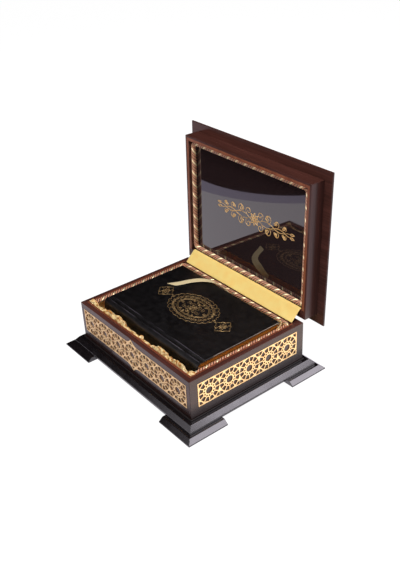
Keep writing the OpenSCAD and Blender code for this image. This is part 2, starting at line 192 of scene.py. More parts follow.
def patterned(name, sockets, layers, colour=None, ranges=None, bump=None):
    """A finish that follows layers of noise.

    A layer is the size of its grain along x, y and z in mm and its detail, or the name of an attribute. The
    colour is the number of its layer, the layer's low and high value, and the hex colours at those. A range
    is the same for a socket, with the socket's values at those. The bump is the number of its layer, its
    strength and its depth in mm."""
    finish, tree, shader = new_finish(name, sockets)
    spot = add(tree, "TexCoord").outputs["Object"]
    patterns = []
    for layer in layers:
        if isinstance(layer, str):
            patterns.append(add(tree, "Attribute", attribute_name=layer).outputs["Fac"])
        else:
            stretched = add(tree, "Mapping", {"Vector": spot, "Scale": [1 / (s * MM) for s in layer[:3]]})
            patterns.append(add(tree, "TexNoise", {"Vector": stretched, "Scale": 1.0, "Detail": layer[3]}))
    if colour:
        number, low, high, shade, light = colour
        tone = add(tree, "MapRange", {"Value": patterns[number], "From Min": low, "From Max": high})
        fill(tree, shader, {"Base Color": add(tree, "Mix", {
            "Factor": tone, MIX_A: linear(shade), MIX_B: linear(light)}, data_type="RGBA")})
    for socket, (number, low, high, least, most) in (ranges or {}).items():
        fill(tree, shader, {socket: add(tree, "MapRange", {
            "Value": patterns[number], "From Min": low, "From Max": high, "To Min": least, "To Max": most})})
    if bump:
        number, strength, depth = bump
        fill(tree, shader, {"Normal": add(tree, "Bump", {
            "Height": patterns[number], "Strength": strength, "Distance": depth * MM})})
    return finish


print("a finish can follow noise or an attribute")

# %% [markdown]
# ## The studio
# A product like this is shot on a white sweep with softboxes. The key stands at the back right, where
# the sloped lacquer mirrors it, a large one hangs overhead for the satin, and one at the front lights
# the walls and the spine there. The floor and the sky are white to the camera and pale in reflections,
# but they add hardly any light, and the floor takes the shadow.

# %% Studio functions
STUDIO_TINT = "#F5EEF8"  # the pale lavender walls that glossy surfaces mirror


def seen_share(tree):
    """1 for rays from the camera, a mirror or glass, and 0 for light that falls on something."""
    path = add(tree, "LightPath").outputs
    mirrored = add(tree, "Math", {
        0: path["Is Glossy Ray"], 1: path["Is Transmission Ray"]}, operation="MAXIMUM")
    return add(tree, "Math", {0: path["Is Camera Ray"], 1: mirrored}, operation="MAXIMUM")


def white_to_camera(tree):
    """White where the camera looks, and the studio's tint in mirrors."""
    direct = add(tree, "LightPath").outputs["Is Camera Ray"]
    return add(tree, "Mix", {
        "Factor": direct, MIX_A: linear(STUDIO_TINT), MIX_B: (1, 1, 1, 1)}, data_type="RGBA")


def grid_mesh(name, rows):
    """A mesh of quads through rows of points."""
    n = len(rows[0])
    quads = [(i * n + j, i * n + j + 1, (i + 1) * n + j + 1, (i + 1) * n + j)
             for i in range(len(rows) - 1) for j in range(n - 1)]
    mesh = bpy.data.meshes.new(name)
    mesh.from_pydata([p for row in rows for p in row], [], quads)
    return mesh


def new_piece(name, mesh, finish):
    """An object for a finished mesh, with one material."""
    piece = bpy.data.objects.new(name, mesh)
    mesh.materials.clear()
    mesh.materials.append(finish)
    scene.collection.objects.link(piece)
    return piece


print("mirrors show the studio in", STUDIO_TINT)

# %% Floor and sky
FLOOR_EDGES = (-4, 4)
FLOOR_GLOW, FLOOR_SHARE = 1.5, 0.65  # the floor's own light where it is seen, and its share beside the paper
SKY_FILL = 0.11

paper = bpy.data.materials.new("white_paper_sweep")
paper.use_nodes = True
tree = paper.node_tree
matte = add(tree, "BsdfDiffuse", {"Color": linear("#A8A8A7")})
glow = add(tree, "Emission", {"Color": white_to_camera(tree), "Strength": FLOOR_GLOW})
share = add(tree, "Math", {0: seen_share(tree), 1: FLOOR_SHARE}, operation="MULTIPLY")
mixed = add(tree, "MixShader", {"Fac": share, 1: matte, 2: glow})
fill(tree, tree.nodes["Material Output"], {"Surface": mixed})
floor_rows = [[(x, y, 0) for x in FLOOR_EDGES] for y in FLOOR_EDGES]
floor = new_piece("floor", grid_mesh("floor", floor_rows), paper)
floor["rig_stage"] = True

world = bpy.data.worlds.new("white_sky")
world.use_nodes = True
scene.world = world
tree = world.node_tree
strength = add(tree, "Math", {0: seen_share(tree), 1: 1 - SKY_FILL, 2: SKY_FILL}, operation="MULTIPLY_ADD")
fill(tree, tree.nodes["Background"], {"Color": white_to_camera(tree), "Strength": strength})
print("floor and sky are white to the camera, and the sky fills shade at", SKY_FILL)

# %% Softboxes
AIM = Vector((0, 0, 0.12))


def towards(azimuth, elevation):
    """The direction from the object at an angle round it, from +X, and above the table."""
    a, e = math.radians(azimuth), math.radians(elevation)
    return Vector((math.cos(e) * math.cos(a), math.cos(e) * math.sin(a), math.sin(e)))


def softbox(name, azimuth, elevation, distance, size, watts, colour="#FFFFFF"):
    """A square light that faces the object."""
    lamp = bpy.data.lights.new(name, "AREA")
    lamp.size = size
    lamp.color = linear(colour)[:3]
    lamp.energy = watts
    box = bpy.data.objects.new(name, lamp)
    box.location = AIM + distance * towards(azimuth, elevation)
    box.rotation_euler = towards(azimuth, elevation).to_track_quat("Z", "Y").to_euler()
    box.visible_camera = False
    scene.collection.objects.link(box)


softbox("key_softbox", azimuth=42, elevation=36, distance=1.6, size=0.92, watts=11.3, colour="#FBF4FF")
softbox("overhead_softbox", azimuth=-75, elevation=77, distance=1.7, size=1.0, watts=22.5)
softbox("front_softbox", azimuth=-80, elevation=22, distance=1.8, size=0.8, watts=8.5)

# %% [markdown]
# ## Black flags
# Black lacquer and a black mirror only look black when they mirror something dark, so a photographer
# stands black boards out of the picture. Here they are a curved board at the left and a round tray on
# the table at the front left, whose pale rim draws the curved band in the lid's mirror. A white card
# beside the right wall brightens the metal there. Only reflections see them.

# %% Flags
FLAG_RADIUS = 1.7
FLAG_AZIMUTHS, FLAG_ELEVATIONS = range(98, 238, 5), range(0, 81, 5)
TRAY_MIDDLE = Vector((-0.61, -0.55, 0.004))
TRAY_HUB, TRAY_RADIUS, TRAY_RIM = 0.002, 0.28, 0.05
CARD_X, CARD_Y, CARD_Z = (0.185, 0.28), (-0.12, 0.22), 0.003
CARD_GLOW = 2.4


def flag(name, rows, colour, glow=1.0):
    """A board through rows of points, which only mirrors can see."""
    look = bpy.data.materials.new(name)
    look.use_nodes = True
    shine = add(look.node_tree, "Emission", {"Color": linear(colour), "Strength": glow})
    fill(look.node_tree, look.node_tree.nodes["Material Output"], {"Surface": shine})
    board = new_piece(name, grid_mesh(name, rows), look)
    board.visible_camera = False
    board.visible_diffuse = False
    board.visible_transmission = False
    board.visible_shadow = False
    board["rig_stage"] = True


def ring(radius):
    """Points of a circle round the tray's middle."""
    return [TRAY_MIDDLE + radius * towards(a, 0) for a in range(0, 361, 5)]


curved = [[FLAG_RADIUS * towards(a, e) for a in FLAG_AZIMUTHS] for e in FLAG_ELEVATIONS]
flag("curved_flag", curved, "#060506")
flag("tray_flag", [ring(TRAY_HUB), ring(TRAY_RADIUS)], "#08070A")
flag("tray_rim_flag", [ring(TRAY_RADIUS), ring(TRAY_RADIUS + TRAY_RIM)], "#CEC6E1")
flag("white_card", [[Vector((x, y, CARD_Z)) for x in CARD_X] for y in CARD_Y], "#F8F1EA", CARD_GLOW)

# %% [markdown]
# ## Wood
# The walls are a close-grained hardwood, stained dark red-brown and sprayed with satin lacquer. A
# photograph of a board would do for one wall, but a grain worked out from noise fits every length. The
# noise is stretched along the board, fine fibres over a slow figure, so each board only has to say which
# way it runs.

# %% Stained wood
FIBRE = (1.4, 60)  # width and length in mm, drawn coarser than real pores so that it shows
FIGURE = (16, 260)
PAINTED_SHADE_FOOT = (30 * MM, 50 * MM)  # painted shade: the wood goes from near black to brown between these heights


def stained_wood(name, axis, shade, light):
    """Stained hardwood under satin lacquer: a warm dark brown with a soft sheen, streaked along one axis,
    and darkened towards the foot by painted shade.
    """
    finish, tree, shader = new_finish(name + axis, {
        "IOR": 1.5, "Specular IOR Level": 0.1, "Coat Weight": 0.55, "Coat Roughness": 0.22})
    spot = add(tree, "TexCoord").outputs["Object"]
    layers = []
    for width, length in (FIBRE, FIGURE):
        scale = [1 / ((length if a == axis else width) * MM) for a in "xyz"]
        stretched = add(tree, "Mapping", {"Vector": spot, "Scale": scale})
        layers.append(add(tree, "TexNoise", {"Vector": stretched, "Scale": 1.0, "Detail": 4.0}))
    grain = add(tree, "Math", {0: layers[0], 1: layers[1]}, operation="ADD")
    tone = add(tree, "MapRange", {"Value": grain, "From Min": 0.75, "From Max": 1.25})
    brown = add(tree, "Mix", {"Factor": tone, MIX_A: linear(shade), MIX_B: linear(light)}, data_type="RGBA")
    # Painted shade: low on the wall the brown is mixed into near black, standing in for the shade and the
    # black plinth mirrored there.
    height = add(tree, "SeparateXYZ", {0: spot}).outputs["Z"]
    painted_foot_shade = add(tree, "MapRange", {
        "Value": height, "From Min": PAINTED_SHADE_FOOT[0], "From Max": PAINTED_SHADE_FOOT[1], "To Min": 0.25})
    colour = add(tree, "Mix", {"Factor": painted_foot_shade, MIX_A: linear("#0A0707"), MIX_B: brown}, data_type="RGBA")
    sheen = add(tree, "MapRange", {
        "Value": layers[0], "From Min": 0.3, "From Max": 0.7, "To Min": 0.18, "To Max": 0.28})
    pores = add(tree, "Bump", {"Height": layers[0], "Strength": 0.12, "Distance": 0.1 * MM})
    fill(tree, shader, {"Base Color": colour, "Roughness": sheen, "Normal": pores})
    return finish


wood = {axis: stained_wood("stained_wood_", axis, "#3C211B", "#56312A") for axis in "xyz"}
lipping = stained_wood("lighter_stained_lipping_", "x", "#663526", "#864A32")
lid_lipping = stained_wood("warm_stained_lipping_", "z", "#753E29", "#9E5D3F")
print("wood along", sorted(wood))

# %% [markdown]
# ## Lacquer and boards
# The plinth and the feet are sprayed black and rubbed down, so their slopes mirror the softboxes a
# little blurred. Sprayed lacquer dries with a faint orange peel, a bump a few millimetres wide. The bead
# over the plinth is only stained, and the board behind the lid's panel is plain fibreboard, speckled and
# matt.

# %% Lacquer and fibreboard
# Near black with a soft mirror, a little uneven where it was rubbed down.
black_lacquer = patterned(
    "rubbed_black_lacquer", {"IOR": 1.5, "Coat Weight": 1.0, "Coat Roughness": 0.2},
    [(22, 22, 22, 5.0), (5, 5, 5, 2.0)], colour=(0, 0, 1, "#0B090A", "#171214"),
    ranges={"Roughness": (0, 0.35, 0.65, 0.16, 0.27)}, bump=(1, 0.02, 0.02))
# Black stain without lacquer, which lets a little of the wood's brown through.
matt_black = patterned(
    "matt_black_stain", {"IOR": 1.5, "Specular IOR Level": 0.2, "Roughness": 0.5},
    [(6, 6, 6, 4.0)], colour=(0, 0, 1, "#0A0808", "#1D1513"))
# Pressed wood fibre: dull brown with short pale flecks.
fibreboard = patterned(
    "pressed_fibreboard", {"IOR": 1.45, "Roughness": 0.8},
    [(1.5, 1.5, 1.5, 3.0)], colour=(0, 0, 1, "#59483A", "#8A745C"))
print("made", black_lacquer.name, matt_black.name, "and", fibreboard.name)

# %% [markdown]
# ## Rounding the hard pieces
# A sawn and sanded board has no knife edges: each outer edge is broken by about half a millimetre and
# catches a thin line of light. The frame's solids have sharp edges, so each hard piece is a copy of its
# solid, with flat faces joined up again and its long outer edges bevelled.

# %% Rounding function
LONG_EDGE = 6 * MM
SHARP, FLAT = math.radians(20), math.radians(0.5)
SAME_POINT = 0.001 * MM
slot_of = {row["node"]: row["material_slot"] for row in frame["record"]["subparts"]}


def stands_for(piece, node):
    """The piece shows instead of this node and moves as it does."""
    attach(piece, frame["nodes"][node]["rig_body"])
    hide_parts(node)


def merged(node):
    """An editable copy of a node's mesh, whose loose triangles are joined up."""
    shape = bmesh.new()
    shape.from_mesh(frame["nodes"][node].data)
    bmesh.ops.remove_doubles(shape, verts=shape.verts, dist=SAME_POINT)
    return shape


def ended(shape, name):
    """The plain mesh of an editable one."""
    mesh = bpy.data.meshes.new(name)
    shape.to_mesh(mesh)
    shape.free()
    return mesh


def rounded(node, width, finish):
    """A copy of a node with its long outer edges rounded, which stands for that node."""
    shape = merged(node)
    bmesh.ops.dissolve_limit(shape, angle_limit=FLAT, verts=shape.verts, edges=shape.edges)
    outer = [e for e in shape.edges if e.is_manifold and e.is_convex
             and e.calc_face_angle() > SHARP and e.calc_length() > LONG_EDGE]
    bmesh.ops.bevel(
        shape, geom=outer, offset=width, segments=2, profile=0.5, affect="EDGES", clamp_overlap=True)
    stands_for(new_piece(node + "_rounded", ended(shape, node + "_rounded"), finish), node)


print("edges over", round(LONG_EDGE / MM), "mm are rounded")

# %% Plinth, case and lid boards
BROKEN_EDGE = 0.5 * MM
FINE_EDGE = 0.25 * MM

boards = [
    ("plinth", BROKEN_EDGE, black_lacquer), ("base_bead", FINE_EDGE, matt_black),
    ("wall_front", BROKEN_EDGE, wood["x"]), ("wall_back", BROKEN_EDGE, wood["x"]),
    ("wall_right", BROKEN_EDGE, wood["y"]), ("wall_left", BROKEN_EDGE, wood["y"]),
    ("lid_wall_front", BROKEN_EDGE, wood["x"]), ("lid_wall_back", BROKEN_EDGE, wood["x"]),
    ("lid_wall_right", BROKEN_EDGE, wood["z"]), ("lid_wall_left", BROKEN_EDGE, wood["z"]),
    ("lid_cap", BROKEN_EDGE, wood["x"]), ("lid_backing", FINE_EDGE, fibreboard)]
boards += [(f"foot_{row}_{side}", BROKEN_EDGE, black_lacquer)
           for row in ("front", "back") for side in ("left", "right")]
for node, width, finish in boards:
    rounded(node, width, finish)
print(len(boards), "boards rounded")

# %% [markdown]
# ## The lippings
# A thin strip of lighter wood is glued along the inner edge of the rim on three sides, in the case and
# in the lid. It could be three sawn strips, but as one mitred moulding it has no joints to fit: a small
# section is set up at the four corners of its path and joined up. The lid's is laid out with the lid
# shut and then swung open. Both are thin, because the two rims nearly meet.

# %% Lippings
hinge = next(j for j in frame["joints"] if j["name"] == "lid_hinge")
HINGE_AXIS = Vector(hinge["pos_m"])
OPEN = (Matrix.Translation(HINGE_AXIS) @ Matrix.Rotation(math.radians(-hinge["range_deg"][1]), 4, "X")
        @ Matrix.Translation(-HINGE_AXIS))
LIP_W, LIP_T = 3.3 * MM, 0.25 * MM
# Points of the sections, inwards from the wood's edge and up, in mm.
RIM_SECTION = [(-0.2, 0), (-0.2, 0.25), (3.1, 0.25), (3.3, 0.12), (3.1, 0)]
LID_SECTION = [(-4.6, 0), (-4.45, -0.2), (0.1, -0.2), (0.3, -0.08), (0.3, 0)]


def mitred_strip(name, edges, z, section, finish, place, body):
    """A moulding along the left, front and right inner edges of a rim, which are given with the back's."""
    left, right, front, back = edges
    path = [(left, back, 1, 0), (left, front, 1, 1), (right, front, -1, 1), (right, back, -1, 0)]
    shape = bmesh.new()
    rings = []
    for x, y, in_x, in_y in path:
        corner = [(x + in_x * s * MM, y + in_y * s * MM, z + h * MM) for s, h in section]
        rings.append([shape.verts.new(p) for p in corner])
    n = len(section)
    for a, b in zip(rings, rings[1:]):
        for k in range(n):
            shape.faces.new((a[k], a[(k + 1) % n], b[(k + 1) % n], b[k]))
    shape.faces.new(rings[0])
    shape.faces.new(rings[-1])
    bmesh.ops.recalc_face_normals(shape, faces=shape.faces)
    mesh = ended(shape, name)
    mesh.transform(place)
    strip = new_piece(name, mesh, finish)
    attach(strip, body)
    print(name, "in a well of", [round(x / MM, 1) for x in (right - left, back - front)], "mm")


rim_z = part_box("wall_front")[1].z
well_left, well_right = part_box("wall_left")[1].x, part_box("wall_right")[0].x
well_front, well_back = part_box("wall_front")[1].y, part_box("wall_back")[0].y
rim_edges = (well_left, well_right, well_front, well_back)
mitred_strip(
    "rim_lipping", rim_edges, rim_z, RIM_SECTION, lipping, Matrix(), "case")

shut = {side: [OPEN.inverted() @ v.co for v in frame["nodes"]["lid_wall_" + side].data.vertices]
        for side in ("left", "right", "front", "back")}
lid_edges = (max(p.x for p in shut["left"]), min(p.x for p in shut["right"]),
             max(p.y for p in shut["front"]), min(p.y for p in shut["back"]))
lid_rim = min(p.z for p in shut["left"])
mitred_strip(
    "lid_lipping", lid_edges, lid_rim, LID_SECTION, lid_lipping, OPEN, "lid")
print("the shut lid's rim is", round((lid_rim - rim_z) / MM, 2), "mm over the case's")

# %% [markdown]
# ## Growing pieces with Geometry Nodes
# Rosettes, rope strands, leaves of paper and gilt lines all repeat or follow a path. Each kind gets one
# tree with named inputs. A tree runs on a throwaway object, and only the plain mesh that comes out is
# kept, so nothing depends on a live modifier afterwards. Paths are handed over as curve objects.

# %% Tree and path functions
def new_tree(name, sockets):
    """A geometry tree with named inputs. Gives the tree and the sockets of its Group Input."""
    tree = bpy.data.node_groups.new(name, "GeometryNodeTree")
    for label, kind in sockets.items():
        tree.interface.new_socket(label, in_out="INPUT", socket_type="NodeSocket" + kind)
    tree.interface.new_socket("Geometry", in_out="OUTPUT", socket_type="NodeSocketGeometry")
    return tree, add(tree, "GroupInput").outputs


def ends_in(tree, geometry, finish):
    """Closes a tree with Realize Instances and Set Material."""
    real = add(tree, "RealizeInstances", {"Geometry": geometry})
    painted = add(tree, "SetMaterial", {"Geometry": real, "Material": finish})
    add(tree, "GroupOutput", {0: painted})
    print(tree.name, "has", len(tree.nodes), "nodes")


def path_object(name, strokes):
    """A curve object with one spline for each stroke: its points, whether it closes, and any widths."""
    curve = bpy.data.curves.new(name, "CURVE")
    curve.dimensions = "3D"
    for points, closed, widths in strokes:
        spline = curve.splines.new("POLY")
        spline.points.add(len(points) - 1)
        spline.use_cyclic_u = closed
        for i, p in enumerate(points):
            spline.points[i].co = (p[0], p[1], p[2] if len(p) > 2 else 0, 1)
            spline.points[i].radius = widths[i] if widths else 1
    path = bpy.data.objects.new(name, curve)
    scene.collection.objects.link(path)
    return path


def grown(name, tree, inputs):
    """Runs a tree with these inputs and keeps the result as a plain mesh. Paths that went in are removed."""
    holder = bpy.data.objects.new(name + "_holder", bpy.data.meshes.new(name + "_holder"))
    modifier = holder.modifiers.new("tree", "NODES")
    modifier.node_group = tree
    for item in tree.interface.items_tree:
        if item.in_out == "INPUT":
            modifier[item.identifier] = inputs[item.name]
    scene.collection.objects.link(holder)
    depsgraph = bpy.context.evaluated_depsgraph_get()
    mesh = bpy.data.meshes.new_from_object(holder.evaluated_get(depsgraph))
    mesh.name = name
    for used in [holder] + [v for v in inputs.values() if isinstance(v, bpy.types.Object)]:
        bpy.data.objects.remove(used)
    print(name, len(mesh.polygons), "faces")
    return mesh


# %% [markdown]
# ## Fretwork
# Each side of the case has a thin gold-toned plate let into the wood, sawn into a row of twelve-fold
# rosettes. Sawing it here with booleans would be slow and leave broken faces. Instead the outline and
# all the holes are drawn as flat curves, filled in one go, and the filled sheet is pulled to the plate's
# thickness. The motif is drawn once at a tile size of 1.

# %% Fretwork finish
# Gold-toned sheet metal: warm and bright, with a fine rolling grain that blurs what it mirrors.
fret_gold = patterned(
    "rolled_gold_plate", {"Metallic": 0.9}, [(14, 14, 14, 3.0), (8, 8, 0.8, 3.0)],
    colour=(0, 0, 1, "#DEB07E", "#F0D6A0"), ranges={"Roughness": (1, 0.3, 0.7, 0.22, 0.36)})
print("made", fret_gold.name)

# %% Fretwork tree
PETALS = 12
# Each ring of holes in a tile of size 1: how many, their distance from the middle, the first one's angle in
# degrees, and the shape of each with its sizes, which points away from the middle.
HOLE_RINGS = [
    (PETALS, 0.252, 0, "KITE", {"Width": 0.11, "Bottom Height": 0.063, "Top Height": 0.03}),
    (PETALS, 0.393, 15, "TRAPEZOID", {
        "Height": 0.185, "Bottom Width": 0.12, "Top Width": 0.22, "Offset": 0.0}),
    (4, 0.562, 45, "KITE", {"Width": 0.25, "Bottom Height": 0.042, "Top Height": 0.13})]
DISC = 0.155
HOLE_ROUND = 0.012

tree, size = new_tree("fretwork", {
    "Outline": "Object", "Tile": "Float", "Tiles": "Int", "Thickness": "Float", "Finish": "Material"})
motif = [add(tree, "CurvePrimitiveCircle", {"Resolution": 24, "Radius": DISC})]
for count, reach, angle, kind, sizes in HOLE_RINGS:
    outlined = add(tree, "CurvePrimitiveQuadrilateral", sizes, mode=kind)
    hole = add(tree, "FilletCurve", {
        "Curve": outlined, "Count": 2, "Radius": HOLE_ROUND, "Limit Radius": True}, mode="POLY")
    spots = add(tree, "MeshCircle", {"Vertices": count, "Radius": reach})
    spots = add(tree, "Transform", {"Geometry": spots, "Rotation": (0, 0, math.radians(angle))})
    outward = add(tree, "AlignRotationToVector", {
        "Vector": add(tree, "InputPosition")}, axis="Y", pivot_axis="Z")
    motif.append(add(tree, "InstanceOnPoints", {"Points": spots, "Instance": hole, "Rotation": outward}))
rosette = add(tree, "JoinGeometry")
for part in motif:
    fill(tree, rosette, {0: part})
last = add(tree, "Math", {0: size["Tiles"], 1: 1.0}, operation="SUBTRACT")
run = add(tree, "Math", {0: last, 1: size["Tile"]}, operation="MULTIPLY")
half = add(tree, "Math", {0: run, 1: -0.5}, operation="MULTIPLY")
row = add(tree, "MeshLine", {
    "Count": size["Tiles"], "Start Location": add(tree, "CombineXYZ", {"X": half}),
    "Offset": add(tree, "CombineXYZ", {"X": size["Tile"]})})
tiles = add(tree, "InstanceOnPoints", {"Points": row, "Instance": rosette, "Scale": size["Tile"]})
outline = add(tree, "ObjectInfo", {"Object": size["Outline"]}).outputs["Geometry"]
drawn = add(tree, "JoinGeometry", {0: outline})
fill(tree, drawn, {0: add(tree, "RealizeInstances", {0: tiles})})
back = add(tree, "FillCurve", {"Curve": drawn})
front = add(tree, "ExtrudeMesh", {
    "Mesh": back, "Offset": (0, 0, 1), "Offset Scale": size["Thickness"], "Individual": False})
plate = add(tree, "JoinGeometry", {0: add(tree, "FlipFaces", {0: back})})
fill(tree, plate, {0: front})
ends_in(tree, add(tree, "MergeByDistance", {"Geometry": plate, "Distance": 2 * SAME_POINT}), size["Finish"])
fret_tree = tree

# %% Four fretwork plates
TILE = 40 * MM
BORDER = 1.2 * MM
POINT_W, POINT_H = 14 * MM, 9 * MM  # the front plate's pointed centre piece, from its middle
PLATE_T = 1.5 * MM
WALL_NAMES = ("front", "right", "back", "left")

for k, side in enumerate(WALL_NAMES):
    low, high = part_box("inlay_" + side)
    along = (high - low)[k % 2]
    tiles = round((along - 2 * BORDER) / TILE)
    x, y = along / 2, TILE / 2 + BORDER
    upper = [(-x, y), (x, y)]
    holes = []
    if side == "front":
        bend_x, bend_y = 0.45 * POINT_W, y + 0.35 * POINT_H
        upper[1:1] = [(-POINT_W, y), (-bend_x, bend_y), (0, y + POINT_H), (bend_x, bend_y), (POINT_W, y)]
        tip_x, tip_y = 0.3 * POINT_W, y + 0.06 * POINT_H
        tip = [(-tip_x, tip_y), (tip_x, tip_y), (0, y + 0.6 * POINT_H)]
        holes = [(tip, True, None), ([(-a, -b) for a, b in tip], True, None)]
    outline = path_object("outline_" + side, [(upper + [(-a, -b) for a, b in upper], True, None)] + holes)
    mesh = grown("fretwork_" + side, fret_tree, {
        "Outline": outline, "Tile": TILE, "Tiles": tiles, "Thickness": PLATE_T, "Finish": fret_gold})
    place = (low + high) / 2
    place[1 - k % 2] = low[1 - k % 2] if k in (1, 2) else high[1 - k % 2]
    stand = Matrix.Rotation(math.radians(90 * k), 4, "Z") @ Matrix.Rotation(math.radians(90), 4, "X")
    mesh.transform(Matrix.Translation(place) @ stand)
    stands_for(new_piece("fretwork_" + side, mesh, fret_gold), "inlay_" + side)

# %% [markdown]
# ## Rope trim
# A twisted rope hides the joint between satin and wood, in the case and round the lid's panel. It is
# four wrapped strands, one in pale gold metal thread and three in mauve brown rayon. The strands could
# be bent by hand, but each is just the path with a turning offset: a helix that also follows corners.
# One tree winds any path.

# %% Rope thread finish
THREADS = 7.0
THREAD_TURNS = 3.0
METAL_THREAD = 0.75
# Where the painted highlight on a strand begins and is full, with 1 on the strand's crest, and the colours
# of its groove, in painted shade, and of its crest, in painted highlight.
GOLD_STRAND = (-0.1, 0.5, "#8A5228", "#FFE6B6")
BROWN_STRAND = (0.6, 1.0, "#180705", "#E8A27A")

rope_thread, tree, shader = new_finish("twisted_rayon_thread", {"Roughness": 0.42, "Sheen Weight": 0.25})
# Thread wound round each strand gives fine ribs in the bump. Over the strand's own gold or brown, the colour
# has a painted highlight along its crest and painted shade in the grooves beside it.
around = add(tree, "SeparateXYZ", {0: add(tree, "Attribute", attribute_name="around").outputs["Vector"]})
angle = add(tree, "Math", {0: around.outputs["Y"], 1: around.outputs["X"]}, operation="ARCTAN2")
along, strand, crest = [
    add(tree, "Attribute", attribute_name=label).outputs["Fac"] for label in ("turn", "strand", "crest")]
twist = add(tree, "Math", {0: along, 1: 2 * math.pi * THREAD_TURNS}, operation="MULTIPLY")
phase = add(tree, "Math", {0: angle, 1: THREADS, 2: twist}, operation="MULTIPLY_ADD")
wave = add(tree, "Math", {0: phase}, operation="SINE")
painted_light_tones = []
for low, high, groove, top in (GOLD_STRAND, BROWN_STRAND):
    lit = add(tree, "MapRange", {"Value": crest, "From Min": low, "From Max": high})
    painted_light_tones.append(add(tree, "Mix", {
        "Factor": lit, MIX_A: linear(groove), MIX_B: linear(top)}, data_type="RGBA"))
is_brown = add(tree, "Math", {0: strand, 1: 0.5}, operation="GREATER_THAN")
colour = add(tree, "Mix", {"Factor": is_brown, MIX_A: painted_light_tones[0], MIX_B: painted_light_tones[1]}, data_type="RGBA")
metal = add(tree, "Math", {0: is_brown, 1: -METAL_THREAD, 2: METAL_THREAD}, operation="MULTIPLY_ADD")
ribs = add(tree, "Bump", {"Height": wave, "Strength": 0.3, "Distance": 0.15 * MM})
fill(tree, shader, {"Metallic": metal, "Base Color": colour, "Normal": ribs})
print("made", rope_thread.name)

# %% Rope tree
tree, size = new_tree("twisted_rope", {
    "Path": "Object", "Strands": "Int", "Lay": "Float", "Strand Radius": "Float", "Helix Radius": "Float",
    "Corner": "Float", "Step": "Float", "Finish": "Material"})
path = add(tree, "ObjectInfo", {"Object": size["Path"]}).outputs["Geometry"]
eased = add(tree, "FilletCurve", {"Curve": path, "Count": 8, "Radius": size["Corner"]}, mode="POLY")
even = add(tree, "ResampleCurve", {"Curve": eased, "Length": size["Step"]}, mode="LENGTH")
copies = add(tree, "DuplicateElements", {"Geometry": even, "Amount": size["Strands"]}, domain="SPLINE")
number = copies.outputs["Duplicate Index"]
run = add(tree, "SplineParameter").outputs["Length"]
turns = add(tree, "Math", {0: run, 1: size["Lay"]}, operation="DIVIDE")
start = add(tree, "Math", {0: number, 1: size["Strands"]}, operation="DIVIDE")
turned = add(tree, "Math", {0: turns, 1: start}, operation="ADD")
swing = add(tree, "Math", {0: turned, 1: 2 * math.pi}, operation="MULTIPLY")
sideways = add(tree, "VectorMath", {0: add(tree, "InputTangent"), 1: (0, 0, 1)}, operation="CROSS_PRODUCT")
over = add(tree, "VectorMath", {
    0: sideways, "Scale": add(tree, "Math", {0: swing}, operation="COSINE")}, operation="SCALE")
rise = add(tree, "CombineXYZ", {"Z": add(tree, "Math", {0: swing}, operation="SINE")})
spoke = add(tree, "VectorMath", {0: over, 1: rise}, operation="ADD")
shift = add(tree, "VectorMath", {0: spoke, "Scale": size["Helix Radius"]}, operation="SCALE")
known = add(tree, "StoreNamedAttribute", {"Geometry": copies, "Name": "strand", "Value": number})
known = add(tree, "StoreNamedAttribute", {"Geometry": known, "Name": "turn", "Value": turns})
known = add(tree, "StoreNamedAttribute", {
    "Geometry": known, "Name": "axis", 3: add(tree, "InputPosition")}, data_type="FLOAT_VECTOR")
wound = add(tree, "SetPosition", {"Geometry": known, "Offset": shift})
ring_curve = add(tree, "CurvePrimitiveCircle", {"Resolution": 10, "Radius": size["Strand Radius"]})
heading = add(tree, "VectorMath", {0: add(tree, "InputPosition")}, operation="NORMALIZE")
section = add(tree, "StoreNamedAttribute", {
    "Geometry": ring_curve, "Name": "around", 3: heading}, data_type="FLOAT_VECTOR")
solid = add(tree, "CurveToMesh", {"Curve": wound, "Profile Curve": section, "Fill Caps": True})
# How far out each point is on its strand: -1 at the rope's axis, 1 on the crest.
axis = add(tree, "InputNamedAttribute", {"Name": "axis"}, data_type="FLOAT_VECTOR")
far = add(tree, "VectorMath", {0: add(tree, "InputPosition"), 1: axis}, operation="DISTANCE")
over_helix = add(tree, "Math", {0: far.outputs["Value"], 1: size["Helix Radius"]}, operation="SUBTRACT")
height = add(tree, "Math", {0: over_helix, 1: size["Strand Radius"]}, operation="DIVIDE")
ends_in(tree, add(tree, "StoreNamedAttribute", {
    "Geometry": solid, "Name": "crest", "Value": height}), size["Finish"])
rope_tree = tree

# %% Case rope and lid rope
ROPE_R = 4.5 * MM
STRAND_R, HELIX_R = 1.85 * MM, 2.6 * MM
ROPE_LAY = 21 * MM
ROPE_SIZES = {"Strands": 4, "Strand Radius": STRAND_R, "Helix Radius": HELIX_R, "Corner": 7 * MM,
              "Step": 1.3 * MM, "Finish": rope_thread}
# The lipping keeps the case rope a little further in and slimmer.
ROPE_IN, ROPE_UP = 1.2 * MM, 0.3 * MM
ROPE_GAP = 0.5 * MM  # from the lipping to the rope's ends
CASE_STRANDS = {"Strand Radius": 0.93 * STRAND_R, "Helix Radius": 0.93 * HELIX_R}


def smooth(mesh):
    """Shades a mesh as one soft surface."""
    mesh.polygons.foreach_set("use_smooth", [True] * len(mesh.polygons))
    return mesh


low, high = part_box("case_rope")
x, back, z = high.x - ROPE_R - ROPE_IN, high.y - ROPE_R, (low.z + high.z) / 2 + ROPE_UP
front = well_front + LIP_W + ROPE_GAP
corners = [(-x, front, z), (-x, back, z), (x, back, z), (x, front, z)]
path = path_object("case_rope_path", [(corners, False, None)])
mesh = grown("case_rope_twist", rope_tree, {"Path": path, "Lay": ROPE_LAY, **ROPE_SIZES, **CASE_STRANDS})
stands_for(new_piece("case_rope_twist", smooth(mesh), rope_thread), "case_rope")

